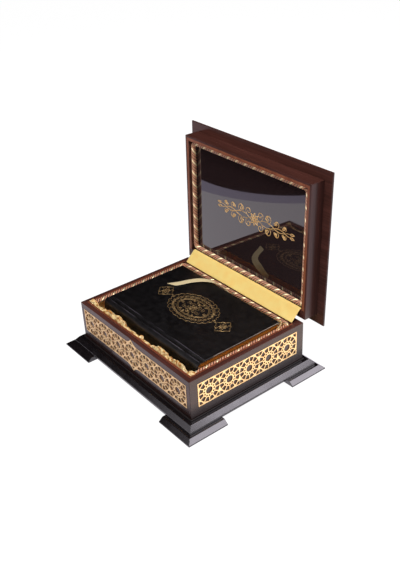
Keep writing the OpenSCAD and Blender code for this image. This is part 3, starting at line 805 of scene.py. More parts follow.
shut = [OPEN.inverted() @ v.co for v in frame["nodes"]["lid_rope"].data.vertices]
z = (min(p.z for p in shut) + max(p.z for p in shut)) / 2
front = min(p.y for p in shut) + ROPE_R
x, back = max(p.x for p in shut) - ROPE_R, max(p.y for p in shut) - ROPE_R
around_lid = 2 * (2 * x + back - front) - (8 - 2 * math.pi) * ROPE_SIZES["Corner"]
corners = [(-x, front, z), (x, front, z), (x, back, z), (-x, back, z)]
path = path_object("lid_rope_path", [(corners, True, None)])
lay = around_lid / round(around_lid / ROPE_LAY)
mesh = grown("lid_rope_twist", rope_tree, {"Path": path, "Lay": lay, **ROPE_SIZES})
mesh.transform(OPEN)
stands_for(new_piece("lid_rope_twist", smooth(mesh), rope_thread), "lid_rope")

# %% [markdown]
# ## Satin
# Pale gold satin covers the cards inside the walls and the padded bed, and a gathered strip of it fills
# the gap at the front. Satin is woven so that long threads float on its face: it is smooth one way, so a
# fold shines in a narrow streak and goes deep gold beside it. That needs some sheen and a low roughness.
# On the gathered strip the pale crests and deep gold hollows are also painted highlight and painted shade.

# %% Satin finishes
def satin(name, shade, light, thread, tone=(20, 20, 20, 3.0)):
    """Satin cloth: a soft bright streak on each fold, deeper gold beside it, and a fine weave in the bump.

    The tone mixes the two colours: faint clouds, or an attribute that says how far out the folds are. With
    that attribute the pale colour on the crests is a painted highlight and the deep gold in the hollows is
    painted shade."""
    sockets = {"IOR": 1.5, "Roughness": 0.3, "Sheen Weight": 0.4, "Sheen Roughness": 0.3, "Anisotropic": 0.4}
    return patterned(name, sockets, [tone, (thread, 12 * thread, thread, 2.0)],
                     colour=(0, 0, 1, shade, light), bump=(1, 0.2, 0.1))


gold_satin = satin("pale_gold_satin", "#F0C474", "#FFE8B4", 0.7)
# The gathered strip's colour follows its crumple: a painted highlight on the crests and painted shade in the
# hollows.
strip_satin = satin("gathered_gold_satin", "#C4843A", "#FFE6A8", 0.7, "fold")
ribbon_satin = satin("gold_ribbon_satin", "#FFCE70", "#FFEC98", 0.6)
print("satins:", gold_satin.name, strip_satin.name, ribbon_satin.name)

# %% Satin-covered cards
CARD_EDGE = 0.6 * MM
for side in WALL_NAMES:
    rounded("lining_" + side, CARD_EDGE, gold_satin)
print(len(WALL_NAMES), "cards covered")

# %% [markdown]
# ## The satin bed
# Under the book lies a padded floor of satin over wadding, tight at its edges and pressed flat where the
# book rests. The pad is blown up as real wadding would be: its solid is remeshed to an even skin, and
# the cloth solver swells it with a little pressure. Then the book's place is pressed back down.

# %% Cloth functions
def applied(piece):
    """Replaces a piece's mesh by what its modifiers make of it."""
    depsgraph = bpy.context.evaluated_depsgraph_get()
    mesh = bpy.data.meshes.new_from_object(piece.evaluated_get(depsgraph))
    piece.modifiers.clear()
    piece.data = mesh
    scene.frame_set(1)
    return piece


def cloth_run(piece, frames, settings, pins=None):
    """Lets the cloth solver move a piece for some frames without gravity, and keeps the result."""
    cloth = piece.modifiers.new("cloth", "CLOTH")
    cloth.settings.effector_weights.gravity = 0
    if pins:
        cloth.settings.vertex_group_mass = pins
    for label, value in settings.items():
        setattr(cloth.settings, label, value)
    cloth.point_cache.frame_start = 1
    cloth.point_cache.frame_end = frames
    for number in range(1, frames + 1):
        scene.frame_set(number)
    return applied(piece)


def finer(piece, levels):
    """Puts a live Subdivision Surface on a piece."""
    skin = piece.modifiers.new("finer", "SUBSURF")
    skin.levels = skin.render_levels = levels


print("cloth runs without gravity")

# %% Bed
BED_CELL = 5 * MM
BED_SWELL = 5 * MM
BED_FRAMES, BED_PRESSURE = 14, 4.0
BED_PRESSED = 0.2 * MM  # how far the book presses its place below the solid's top
BED_EASE = 8 * MM  # how far from the book the satin stands free
BED_RISE, BED_RIPPLE = 3, 1.2  # how high it stands there, and its ripples, in mm
RIPPLE_SIZES = (24 * MM, 11 * MM)

bed_low, bed_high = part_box("satin_bed")
book_low, book_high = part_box("book_bottom_cover")
spine_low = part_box("book_spine")[0]
bed = new_piece("padded_bed", ended(merged("satin_bed"), "padded_bed"), gold_satin)
remesh = bed.modifiers.new("even_skin", "REMESH")
remesh.mode = "VOXEL"
remesh.voxel_size = BED_CELL
applied(bed)
before = [v.co.copy() for v in bed.data.vertices]
cloth_run(bed, BED_FRAMES, {"use_pressure": True, "uniform_pressure_force": BED_PRESSURE, "quality": 5})
for v, old in zip(bed.data.vertices, before):
    moved = v.co - old
    v.co = old + moved.normalized() * min(moved.length, BED_SWELL)
    wide = noise.noise(Vector((old.x, old.y, 0)) / RIPPLE_SIZES[0])
    ripple = wide + 0.6 * noise.noise(Vector((old.x, old.y, 9)) / RIPPLE_SIZES[1])
    out = max(book_low.x - old.x, old.x - book_high.x, spine_low.y - old.y, old.y - book_high.y, 0)
    if old.z > bed_low.z + BED_CELL:
        free = min(out / BED_EASE, 1)
        v.co.z = min(v.co.z, bed_high.z - BED_PRESSED + free * (BED_RISE + BED_RIPPLE * ripple) * MM)
    v.co.x = min(max(v.co.x, bed_low.x), bed_high.x)
    v.co.y = min(max(v.co.y, bed_low.y), bed_high.y)
    v.co.z = max(v.co.z, bed_low.z)
finer(bed, 1)
applied(bed)
smooth(bed.data)
stands_for(bed, "satin_bed")
bed_top = max(v.co.z for v in bed.data.vertices)
print("bed", len(bed.data.polygons), "faces, top at", round(bed_top / MM, 1), "mm")

# %% [markdown]
# ## The gathered strip
# At the front the satin is gathered into a soft crumpled roll, which stands a few millimetres over the
# rim in loose bunches. A row of modelled waves looks knitted, so the strip is made as a tailor makes it:
# a longer piece of cloth is pushed together between two held edges, and the cloth solver finds the
# creases.

# %% Sheet functions
def cloth_grid(name, rows, finish):
    """A sheet of quads through rows of points."""
    return new_piece(name, smooth(grid_mesh(name, rows)), finish)


def thickened(piece, thickness, levels):
    """Gives a sheet its thickness and a finer mesh."""
    finer(piece, levels)
    wall = piece.modifiers.new("thickness", "SOLIDIFY")
    wall.thickness = thickness
    wall.offset = 0
    applied(piece)
    smooth(piece.data)
    return piece


print("sheets are drawn as rows of points")

# %% Gathered strip
STRIP_COLUMNS, STRIP_ROWS = 250, 18
STRIP_END = 8 * MM  # how far each end goes past the strip's solid
# Where the cloth is bunched up: the middle along x, the half width in mm and the share of the full height.
BUNCHES = [(-130, 9, 0.6), (-84, 14, 0.9), (-58, 14, 0.9), (2, 6, 0.35), (20, 6, 0.35), (57, 15, 1.0),
           (103, 17, 0.75), (136, 8, 0.9)]
STRIP_RISE, BUNCH_RISE, FOLD_RISE = 4.6, 8.2, 1.5  # heights in mm: all along, in a bunch and on a fold
FOLD_PITCH, FOLD_SWAY = 9 * MM, 0.8 * MM
# Each end laps over the rope's: where that begins, how soon it is full, how far up in mm, and the share of
# the height that is lost.
LAP_FROM, LAP_OVER, LAP_LIFT, LAP_FLAT = 3 * MM, 6 * MM, 8.5, 0.6
GATHER = -0.25  # how much longer the cloth is than its place, as the solver's shrink factor
GATHER_FRAMES = 30
STRIP_HALF = 4.1 * MM
STRIP_GAP = 0.4 * MM  # from the lipping to the strip

low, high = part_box("satin_ruffle")
strip_front = well_front + LIP_W + STRIP_GAP
rows = []
for i in range(STRIP_COLUMNS + 1):
    x = low.x - STRIP_END + (high.x - low.x + 2 * STRIP_END) * i / STRIP_COLUMNS
    bunch = min(1, sum(h * math.exp(-((x / MM - m) / w) ** 2) for m, w, h in BUNCHES))
    fold = noise.noise(Vector((x / FOLD_PITCH, 1.3, 0)))
    lap = min(1, max(0, (abs(x) - high.x + LAP_FROM) / LAP_OVER))
    foot = low.z + (1 + LAP_LIFT * lap) * MM
    row = []
    for j in range(STRIP_ROWS + 1):
        a = math.pi * (1 - j / STRIP_ROWS)
        y = strip_front + STRIP_HALF * (1 + math.cos(a)) + FOLD_SWAY * fold * math.sin(a)
        rise = (STRIP_RISE + BUNCH_RISE * bunch + FOLD_RISE * fold) * MM
        row.append((x, y, foot + math.sin(a) * (1 - LAP_FLAT * lap) * rise))
    rows.append(row)
strip = cloth_grid("gathered_strip", rows, strip_satin)
n = STRIP_ROWS + 1
pins = strip.vertex_groups.new(name="held")
pins.add([i for i in range(len(strip.data.vertices)) if i % n in (0, n - 1)], 1.0, "REPLACE")
over = [sum((Vector(b) - Vector(a)).length for a, b in zip(row, row[1:])) for row in rows]
cloth_run(strip, GATHER_FRAMES, {
    "shrink_min": GATHER, "quality": 6, "bending_stiffness": 0.05, "mass": 0.05}, "held")
print("gathered in", GATHER_FRAMES, "frames")

# %% Crumpled strip
CLOTH_T = 0.3 * MM
CRUMPLE = 0.7 * MM
CRUMPLE_SIZES = (6 * MM, 2.6 * MM)
STRIP_TOP = high.z + 2 * MM
# How far the strip may lean to the front and the back, and how far over the lipping it is free to.
LEAN_FRONT, LEAN_BACK, LIP_FREE = 2 * MM, 3 * MM, 0.3 * MM
facing = [v.normal.copy() for v in strip.data.vertices]
# The crumple is kept as the "fold" attribute, high on crests and low in hollows, for the satin's painted
# highlight and shade.
painted_fold_shade = strip.data.attributes.new("fold", "FLOAT", "POINT").data
for v, out in zip(strip.data.vertices, facing):
    sharp, soft = [noise.noise(v.co / s) for s in CRUMPLE_SIZES]
    crumple = 0.9 - abs(sharp) * 3 + 0.6 * soft
    painted_fold_shade[v.index].value = min(max((crumple + 0.5) / 1.4, 0), 1)
    v.co += out * CRUMPLE * crumple
    under_lip = v.co.z < rim_z + LIP_T + LIP_FREE
    v.co.y = min(max(v.co.y, strip_front - (0 if under_lip else LEAN_FRONT)), high.y + LEAN_BACK)
    v.co.z = min(max(v.co.z, low.z), STRIP_TOP)
thickened(strip, CLOTH_T, 1)
stands_for(strip, "satin_ruffle")
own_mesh(strip)

# %% [markdown]
# ## The hinge ribbon
# A flat satin ribbon is glued to the back edge of the case and to the lid, so that the lid can't fall
# past its stop. Standing open it is stretched, with a slight wave and raw-cut ends, and its upper edge
# turns over the lid's edge and under the rope. It is modelled directly as a strip of quads, because it
# has no loose folds for a solver to find.

# %% Hinge ribbon
RIBBON_T = 0.5 * MM
RIBBON_COLUMNS, RIBBON_ROWS = 68, 8
RIBBON_WAVE, WAVE_PITCH, RIBBON_FRAY = 0.5 * MM, 38 * MM, 0.5 * MM
# One crease near the right end: its height, half width, distance from that end at the foot, and lean.
RIBBON_CREASE, CREASE_HALF, CREASE_AT, CREASE_LEAN = 0.9 * MM, 5 * MM, 24 * MM, 16 * MM
# How far back the upper edge is turned, the steps of that, and how far it rises and curls up in mm.
TURNED_EDGE, TURN_STEPS, TURN_RISE, TURN_CURL = 3.8 * MM, (0.35, 0.7, 1.0), 0.4, 1.2
RIBBON_RIGHT = 2.5 * MM  # the right end stands out this much further
RIBBON_SINK, RIBBON_LIFT = 0.9 * MM, 0.4 * MM  # how far inside its solid's box the ribbon's middle runs
low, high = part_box("hinge_ribbon")
foot = Vector((0, low.y + RIBBON_SINK, low.z + RIBBON_LIFT))
head = Vector((0, high.y - RIBBON_LIFT, high.z - RIBBON_SINK))
outward = Vector((0, -(head - foot).z, (head - foot).y)).normalized()
rows = []
for i in range(RIBBON_COLUMNS + 1):
    x = low.x + (high.x + RIBBON_RIGHT - low.x) * i / RIBBON_COLUMNS
    fray = RIBBON_FRAY if i in (0, RIBBON_COLUMNS) else 0
    row = []
    for j in range(RIBBON_ROWS + 1):
        t = j / RIBBON_ROWS
        wave = RIBBON_WAVE * noise.noise(Vector((x / WAVE_PITCH, 2 * t, 5.1)))
        crease = RIBBON_CREASE * math.exp(-((x - high.x + CREASE_AT + CREASE_LEAN * t) / CREASE_HALF) ** 2)
        lift = (wave + crease) * math.sin(math.pi * t)
        edge = fray * noise.noise(Vector((0, 9 * t, x)))
        row.append(foot.lerp(head, t) + outward * lift + Vector((x + edge, 0, 0)))
    for back in TURN_STEPS:
        row.append(head + Vector((x + edge, back * TURNED_EDGE, (TURN_RISE + TURN_CURL * back ** 3) * MM)))
    rows.append(row)
ribbon = thickened(cloth_grid("satin_hinge_ribbon", rows, ribbon_satin), RIBBON_T, 1)
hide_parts("hinge_ribbon")
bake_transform(ribbon)

# %% [markdown]
# ## A tuck of satin
# At the back right corner a fold of the lining stands up between the book and the rope, and its edge
# shows as a pale curve. It could be left out as an accident, but it is what makes the lining look
# hand-laid. It is a short strip on edge between two drawn curves.

# %% Satin tuck
TUCK_T = 0.6 * MM
# The upper and the lower curve, in mm.
TUCK_TOP = [(121, 76, 95), (127, 75.8, 96.6), (131.5, 75, 97), (134, 73, 96.5), (135.6, 69.5, 95.5),
            (136.6, 65, 94), (137, 60, 92.6)]
TUCK_FOOT = [(121, 76.5, 84), (127, 76.2, 84.6), (131, 75.6, 85), (131.6, 73.4, 85), (131.6, 69.5, 84.6),
             (131.6, 65, 84), (131.6, 60, 83)]
rows = []
for top, base in zip(TUCK_TOP, TUCK_FOOT):
    rows.append([Vector(base).lerp(Vector(top), s / 4) * MM for s in range(5)])
tuck = thickened(cloth_grid("satin_corner_tuck", rows, gold_satin), TUCK_T, 2)
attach(tuck, "case")
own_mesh(tuck)

# %% [markdown]
# ## The black panel
# The lid is lined with a sheet of polished black acrylic. A polished plastic is smooth enough to mirror
# the open box, but only about a tenth of the light comes back at this angle. Its finish has a low
# roughness with faint wiping marks, and a coat that stands for the hard polished skin.

# %% Panel
# Cast acrylic: jet black, and a dark clear mirror with faint wiping marks.
black_acrylic = patterned(
    "polished_black_acrylic",
    {"Base Color": linear("#2C2021"), "IOR": 1.49, "Coat Weight": 1.0, "Coat Roughness": 0.015},
    [(30, 30, 90, 5.0)], ranges={"Roughness": (0, 0.4, 0.8, 0.015, 0.07)})
rounded("lid_panel", FINE_EDGE, black_acrylic)
print("panel in", black_acrylic.name)

# %% [markdown]
# ## Gilt drawing
# The panel and the book's cover carry thin gilt ornament: scrolls and leaves, stamped or printed in gold
# foil. The scrolls are drawn here as plain plant ornament, from spirals and leaf shapes. Each line is a
# stroke with a width, and one tree sweeps a flat section along every stroke, so that it stands a hair
# above the surface.

# %% Gilt finish
def gilt(name, colour, wear_and_highlight, dull, bright):
    """Gold foil: a warm metal, dull in the specks where it has rubbed thin."""
    return patterned(
        name, {"Roughness": 0.34}, [(2.5, 2.5, 2.5, 4.0)], colour=(0, 0.35, 0.65, wear_and_highlight, colour),
        ranges={"Metallic": (0, 0.35, 0.65, dull, bright)})


cover_gilt = gilt("rubbed_gilt_stamping", "#E6C48A", "#96713F", 0.45, 0.9)
panel_gilt = gilt("bright_gilt_print", "#FFDA9C", "#E6AE62", 0.15, 0.5)
print("foils:", cover_gilt.name, panel_gilt.name)

# %% Gilt tree
tree, size = new_tree("gilt_lines", {
    "Strokes": "Object", "Width": "Float", "Thickness": "Float", "Finish": "Material"})
strokes = add(tree, "ObjectInfo", {"Object": size["Strokes"]}).outputs["Geometry"]
level = add(tree, "SetCurveNormal", {"Curve": strokes}, mode="Z_UP")
section = add(tree, "CurvePrimitiveQuadrilateral", {"Width": size["Width"], "Height": size["Thickness"]})
swept = add(tree, "CurveToMesh", {
    "Curve": level, "Profile Curve": section, "Scale": add(tree, "InputRadius"), "Fill Caps": True})
ends_in(tree, swept, size["Finish"])
gilt_tree = tree

# %% Strokes
def bent(points, place, angle=0.0, flip=1):
    """Moves a drawing: mirrors it, turns it by an angle in degrees and puts it at a place."""
    c, s = math.cos(math.radians(angle)), math.sin(math.radians(angle))
    return [(place[0] + (c * x - s * flip * y), place[1] + (s * x + c * flip * y)) for x, y in points]


def tapered(points, thin=0.35):
    """A stroke that is widest in its middle, as a brush leaves it."""
    n = len(points) - 1
    shares = [min(max(i / n, 0.04), 0.96) for i in range(n + 1)]
    return points, False, [thin + (1 - thin) * math.sin(math.pi * share) for share in shares]


def scroll(radius, turns, steps=44):
    """A spiral that starts at the origin along +X and curls up to the left into its own middle."""
    points = []
    for i in range(steps + 1):
        t = i / steps
        r = radius * (1 - 0.86 * t)
        a = -math.pi / 2 + 2 * math.pi * turns * t
        points.append((r * math.cos(a), radius + r * math.sin(a)))
    return points


def leaf(length, width, steps=10):
    """The closed outline of a pointed leaf from the origin along +X."""
    half = [(length * i / steps, width / 2 * math.sin(math.pi * (i / steps) ** 0.75))
            for i in range(steps + 1)]
    return half + [(x, -y) for x, y in half[-2:0:-1]]


def petals_round(place, count, reach, length, width):
    """A rosette: closed leaves round a middle."""
    return [(bent([(x + reach, y) for x, y in leaf(length, width)], place, 360 * k / count), True, None)
            for k in range(count)]


def oval(a, b, lobes=0, depth=0.0, steps=160):
    """A closed oval, with lobes pushed out of its edge."""
    points = []
    for i in range(steps):
        t = 2 * math.pi * i / steps
        bulge = 1 + depth * (abs(math.sin(lobes * t / 2)) - 0.5) if lobes else 1
        points.append((a * bulge * math.cos(t), b * bulge * math.sin(t)))
    return points, True, None


def gilt_piece(name, strokes, width, thickness, finish, place, body):
    """Sweeps strokes that were drawn in mm, puts them in place and rides them on a body."""
    drawn = [([(x * MM, y * MM) for x, y in points], closed, widths) for points, closed, widths in strokes]
    mesh = grown(name, gilt_tree, {
        "Strokes": path_object(name + "_strokes", drawn), "Width": width, "Thickness": thickness,
        "Finish": finish})
    mesh.transform(place)
    piece = new_piece(name, mesh, finish)
    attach(piece, body)


print("a scroll of radius 1 has", len(scroll(1, 1)), "points")

# %% Scrollwork on the panel
PANEL_ORNAMENT = Vector((14, -20, 103.1)) * MM  # its middle on the panel's face, with the lid shut
PRINT_W, PRINT_T = 1.5 * MM, 0.2 * MM
# One quarter in mm: the stem, the place, radius and turns of its scrolls, and the place and angle of its
# leaves.
STEM = [(12, 0), (20, 4), (30, 5.5), (40, 3), (50, -1.5), (60, -3), (70, -1), (78, 2.5), (86, 3)]
STEM_SCROLLS = [(16, 7.5, 1.35), (34, 8, 1.4), (54, 6, 1.3), (72, 4.5, 1.2)]
STEM_LEAVES = [(27, 9, 55), (47, 7, 40), (66, 5, 30), (84, 3, 5)]
SCROLL_OFF, SCROLL_LEAN = 3.5, 12  # how far from the middle line scrolls start, and their angle
STEM_LEAF = (9, 3.4)  # length and width

strokes = petals_round((0, 0), count=8, reach=3.5, length=8, width=4) + [oval(2.2, 2.2, steps=20)]
for side in (1, -1):
    for flip in (1, -1):
        strokes.append(tapered([(side * x, flip * y) for x, y in STEM]))
        for x, radius, turns in STEM_SCROLLS:
            curl = bent(scroll(radius, turns), (x, SCROLL_OFF * flip), SCROLL_LEAN * flip, flip)
            strokes.append(tapered([(side * a, b) for a, b in curl]))
        for x, y, angle in STEM_LEAVES:
            blade = bent(leaf(*STEM_LEAF), (x, flip * y), flip * angle)
            strokes.append(([(side * a, b) for a, b in blade], True, None))
place = OPEN @ Matrix.Translation(PANEL_ORNAMENT)
gilt_piece("panel_scrollwork", strokes, PRINT_W, PRINT_T, panel_gilt, place, "lid")

# %% [markdown]
# ## The book
# The book is bound in black leather over boards, with a rounded spine to the front and a groove where
# the cover bends. Leather is pebbled on a scale of under a millimetre, which is drawn a little larger
# here so that it shows. The boards and the spine keep the frame's shape, with their edges turned over
# softly.

# %% Book cover
TURNED_IN = 0.9 * MM
black_leather, tree, shader = new_finish("pebbled_black_leather", {"IOR": 1.5, "Specular IOR Level": 0.5})
# Black grained leather: cool soft highlights broken up by pebbles, and smoother where hands polish it.
spot = add(tree, "TexCoord").outputs["Object"]
pebble = add(tree, "TexVoronoi", {"Vector": spot, "Scale": 1 / (1.1 * MM)}, feature="SMOOTH_F1")
crease = add(tree, "TexNoise", {"Vector": spot, "Scale": 1 / (9 * MM), "Detail": 5.0})
height = add(tree, "Math", {0: pebble, 1: crease}, operation="ADD")
colour = add(tree, "Mix", {
    "Factor": crease, MIX_A: linear("#050404"), MIX_B: linear("#0E0C0D")}, data_type="RGBA")
polish = add(tree, "MapRange", {
    "Value": crease, "From Min": 0.3, "From Max": 0.7, "To Min": 0.28, "To Max": 0.42})
grain = add(tree, "Bump", {"Height": height, "Strength": 0.25, "Distance": 0.12 * MM})
fill(tree, shader, {"Base Color": colour, "Roughness": polish, "Normal": grain})
for node in ("book_top_cover", "book_bottom_cover", "book_spine"):
    rounded(node, TURNED_IN, black_leather)
print("book bound in", black_leather.name)

# %% Creases along the spine
CREASE_R = 0.5 * MM
CREASE_SUNK = 0.25 * MM
CREASES_AT = (6.5 * MM, 15.5 * MM)  # from the spine's front
LINE_END = 2 * MM  # how far inside the cover's corners the lines end
EDGE_HIGHLIGHT_FROM = 18 * MM


def painted_highlight_line(name, shade, light, strokes):
    """Thin raised lines of leather along a crease or an edge, smoother than the cover, whose uneven pale
    colour is a painted highlight.
    """
    finish = patterned(name + "_leather", {"IOR": 1.5, "Roughness": 0.26}, [(45, 45, 45, 4.0)],
                       colour=(0, 0.38, 0.62, shade, light))
    mesh = grown(name, rope_tree, {
        "Path": path_object(name + "_path", [(stroke, False, None) for stroke in strokes]), "Strands": 1,
        "Lay": ROPE_LAY, "Strand Radius": CREASE_R, "Helix Radius": 0.0, "Corner": 0.0, "Step": 20 * MM,
        "Finish": finish})
    line = new_piece(name, smooth(mesh), finish)
    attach(line, "book")


cover_low, cover_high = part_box("book_top_cover")
z = cover_high.z - CREASE_SUNK
creases = [[(cover_low.x + LINE_END, spine_low.y + y, z), (cover_high.x - LINE_END, spine_low.y + y, z)]
           for y in CREASES_AT]
# The creases' pale colour is a painted highlight of the light along their round.
painted_highlight_line("spine_creases", "#0E0D0E", "#5C565E", creases)
# Along the cover's right edge a cream line is a painted highlight of the light on that edge.
x, z = cover_high.x - CREASE_SUNK, cover_high.z - 3 * CREASE_SUNK
wear_and_highlight = [(x, cover_low.y + EDGE_HIGHLIGHT_FROM, z), (x, cover_high.y - LINE_END, z)]
painted_highlight_line("worn_cover_edge", "#5A4C42", "#B9A590", [wear_and_highlight])

# %% [markdown]
# ## Pages
# The page block is sewn from folded gatherings, and its edges were trimmed and gilded, so they show as
# fine lines of orange gold. A plain block would look like a brick. One tree stacks the gatherings and
# shifts each by a hair, and follows the round of the spine at the back.

# %% Page finish
# Trimmed paper with burnished gold on its edge: fine dark lines between leaves, and a dull orange shine.
gilt_paper = patterned(
    "gilded_page_edges", {"Metallic": 0.4, "Roughness": 0.4}, [(60, 60, 0.5, 2.0)],
    colour=(0, 0, 1, "#9C5210", "#F0A846"), bump=(0, 0.4, 0.1))
print("made", gilt_paper.name)

# %% Page block
SLAB = (1, 1, 0.97)  # a gathering in its place, with a fine gap over it
GATHERINGS = 24
SPINE_ROUND, PAGE_SHIFT, PAGE_SEED = 4.5 * MM, 0.25 * MM, 7
tree, size = new_tree("page_gatherings", {
    "Count": "Int", "Low": "Vector", "High": "Vector", "Round": "Float", "Shift": "Float", "Seed": "Int",
    "Finish": "Material"})
whole = add(tree, "VectorMath", {0: size["High"], 1: size["Low"]}, operation="SUBTRACT")
spans, ends, base = [add(tree, "SeparateXYZ", {0: v}).outputs for v in (
    whole.outputs["Vector"], size["High"], size["Low"])]
gathering_t = add(tree, "Math", {0: spans["Z"], 1: size["Count"]}, operation="DIVIDE")
half_t = add(tree, "Math", {0: gathering_t, 1: 0.5}, operation="MULTIPLY")
mid_x = add(tree, "Math", {0: base["X"], 1: ends["X"]}, operation="ADD")
mid_x = add(tree, "Math", {0: mid_x, 1: 0.5}, operation="MULTIPLY")
first = add(tree, "Math", {0: base["Z"], 1: half_t}, operation="ADD")
lowest = add(tree, "CombineXYZ", {"X": mid_x, "Y": ends["Y"], "Z": first})
stack = add(tree, "MeshLine", {
    "Count": size["Count"], "Start Location": lowest, "Offset": add(tree, "CombineXYZ", {"Z": gathering_t})})
# The back is round: a gathering near the top or bottom starts further from the spine.
last = add(tree, "Math", {0: size["Count"], 1: 1.0}, operation="SUBTRACT")
centred = add(tree, "Math", {0: add(tree, "InputIndex"), 1: last}, operation="DIVIDE")
off = add(tree, "Math", {0: centred, 1: 2.0, 2: -1.0}, operation="MULTIPLY_ADD")
power = add(tree, "Math", {0: add(tree, "Math", {0: off}, operation="ABSOLUTE"), 1: 8.0}, operation="POWER")
set_back = add(tree, "Math", {0: power, 1: size["Round"]}, operation="MULTIPLY")
deep = add(tree, "Math", {0: spans["Y"], 1: set_back}, operation="SUBTRACT")
unit = add(tree, "MeshCube", {"Size": SLAB})
unit = add(tree, "Transform", {"Geometry": unit, "Translation": (0, -0.5, 0)})
slabs = add(tree, "InstanceOnPoints", {
    "Points": stack, "Instance": unit,
    "Scale": add(tree, "CombineXYZ", {"X": spans["X"], "Y": deep, "Z": gathering_t})})
nudge = add(tree, "RandomValue", {
    0: (-1, -1, 0), 1: (1, 0, 0), "Seed": size["Seed"]}, data_type="FLOAT_VECTOR")
nudge = add(tree, "VectorMath", {0: nudge, "Scale": size["Shift"]}, operation="SCALE")
ends_in(tree, add(tree, "TranslateInstances", {
    "Instances": slabs, "Translation": nudge, "Local Space": False}), size["Finish"])

page_low, page_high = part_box("book_pages")
mesh = grown("page_block", tree, {
    "Count": GATHERINGS, "Low": page_low, "High": page_high, "Round": SPINE_ROUND, "Shift": PAGE_SHIFT,
    "Seed": PAGE_SEED, "Finish": gilt_paper})
stands_for(new_piece("page_block", mesh, gilt_paper), "book_pages")

# %% Endbands
# Silk wound over a cord in turns of cream and red, at the head and tail of the spine.
endband_thread = patterned("two_colour_endband_silk", {"Roughness": 0.5, "Sheen Weight": 0.3}, ["strand"],
                           colour=(0, 0, 1, "#E8D7A6", "#8C2F22"))
ENDBAND_LAY, ENDBAND_STEP = 2.4 * MM, 0.2 * MM
low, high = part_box("book_endbands")
band_r = (high.y - low.y) / 2
path = path_object("endband_path", [([(0, 0, 0), (high.z - low.z, 0, 0)], False, None)])
mesh = grown("endbands", rope_tree, {
    "Path": path, "Strands": 2, "Lay": ENDBAND_LAY, "Strand Radius": 0.5 * band_r,
    "Helix Radius": 0.5 * band_r, "Corner": 0.0, "Step": ENDBAND_STEP, "Finish": endband_thread})
upright = Matrix.Rotation(math.radians(-90), 4, "Y")
pair = bmesh.new()
for x in (low.x + band_r, high.x - band_r):
    one = mesh.copy()
    one.transform(Matrix.Translation((x, (low.y + high.y) / 2, low.z)) @ upright)
    pair.from_mesh(one)
pair.to_mesh(mesh)
pair.free()
stands_for(new_piece("wound_endbands", smooth(mesh), endband_thread), "book_endbands")

# %% [markdown]
# ## The cover's medallion
# A lobed oval is stamped in gilt on the cover, with a pendant at either end, as such bindings have had
# for centuries. Its field is filled with scrolls and a rosette. The drawing is made in millimetres round
# its own middle, one quarter at a time, and mirrored.

# %% Medallion
MEDALLION = Vector((4.8, -3.6, 0)) * MM
STAMP_W, STAMP_T = 0.7 * MM, 0.16 * MM
EDGE_OVAL, LOBES, LOBE_DEPTH = (51.5, 34.7), 24, 0.07  # half the length and width of the lobed edge
FIELD_OVALS = [(34.5, 21.8), (32.2, 19.8)]
RING = (42.5, 28)  # the outer scrolls stand on an oval of this size
OUTER_SCROLL, PENDANT_SCROLL = (2.9, 1.15, 18), (2.6, 1.2, 18)  # radius, turns and number of steps
ARCH = [(-5.5, 0), (0, 0.9), (5.5, 0)]
# One quarter of the field: the place, radius, turns and angle of scrolls, and the place and angle of leaves.
FIELD_SCROLLS = [(8.5, 1.5, 5, 1.35, 10), (18, 2, 4.4, 1.25, 20), (3, 9, 3.8, 1.2, 30)]
FIELD_LEAVES = [(25.5, 1, 0), (13, 13.5, 35), (6, 14.5, 70)]
FIELD_LEAF = (5, 2.2)  # length and width
# Half the outline of a pendant, its middle, where its scrolls start, and the leaf that leads to it.
PENDANT = [(58.5, 0), (64.5, 5), (66, 9.5), (70, 11), (75.5, 16.5), (81, 11), (85, 9.5), (86.5, 5),
           (92.5, 0)]
PENDANT_X, PENDANT_CURL = 75.5, (69.5, 6)
LINK_LEAF, LINK_X = (6, 3), 52.5

cover_top = cover_high.z
strokes = [oval(*EDGE_OVAL, LOBES, LOBE_DEPTH)] + [oval(a, b) for a, b in FIELD_OVALS]
for k in range(LOBES):
    a = 2 * math.pi * (k + 0.5) / LOBES
    place = (RING[0] * math.cos(a), RING[1] * math.sin(a))
    heading = math.degrees(math.atan2(place[1] / RING[1] ** 2, place[0] / RING[0] ** 2))
    strokes.append(tapered(bent(ARCH, place, heading)))
    inner = bent([(-1, 0)], place, heading)[0]
    for flip in (1, -1):
        strokes.append(tapered(bent(scroll(*OUTER_SCROLL), inner, heading, flip)))
strokes += petals_round((0, 0), count=8, reach=2, length=6, width=3)
for sx in (1, -1):
    for sy in (1, -1):
        for x, y, radius, turns, angle in FIELD_SCROLLS:
            curl = bent(scroll(radius, turns, 30), (x, y), angle)
            strokes.append(tapered([(sx * a, sy * b) for a, b in curl]))
        for x, y, angle in FIELD_LEAVES:
            blade = bent(leaf(*FIELD_LEAF), (x, y), angle)
            strokes.append(([(sx * a, sy * b) for a, b in blade], True, None))
    tail = PENDANT + [(x, -y) for x, y in PENDANT[-2:0:-1]]
    strokes.append(([(sx * x, y) for x, y in tail], True, None))
    strokes += petals_round((sx * PENDANT_X, 0), count=8, reach=1.5, length=6, width=2.6)
    for flip in (1, -1):
        curl = bent(scroll(*PENDANT_SCROLL), (PENDANT_CURL[0], PENDANT_CURL[1] * flip), 0, flip)
        strokes.append(tapered([(sx * x, y) for x, y in curl]))
        strokes.append(tapered([(sx * (2 * PENDANT_X - x), y) for x, y in curl]))
    strokes.append((bent(leaf(*LINK_LEAF), (sx * LINK_X, 0), 90 - 90 * sx), True, None))
place = Matrix.Translation((MEDALLION.x, MEDALLION.y, cover_top))
gilt_piece("cover_medallion", strokes, STAMP_W, STAMP_T, cover_gilt, place, "book")

# %% [markdown]
# ## The bookmark
# A cream ribbon is sewn into the binding. It comes up behind the pages, turns over the fore edge and
# lies flat across the cover. Its route repeats the construction model's own points, so it sits where the
# frame says, and a smooth curve through those points gives the strip.

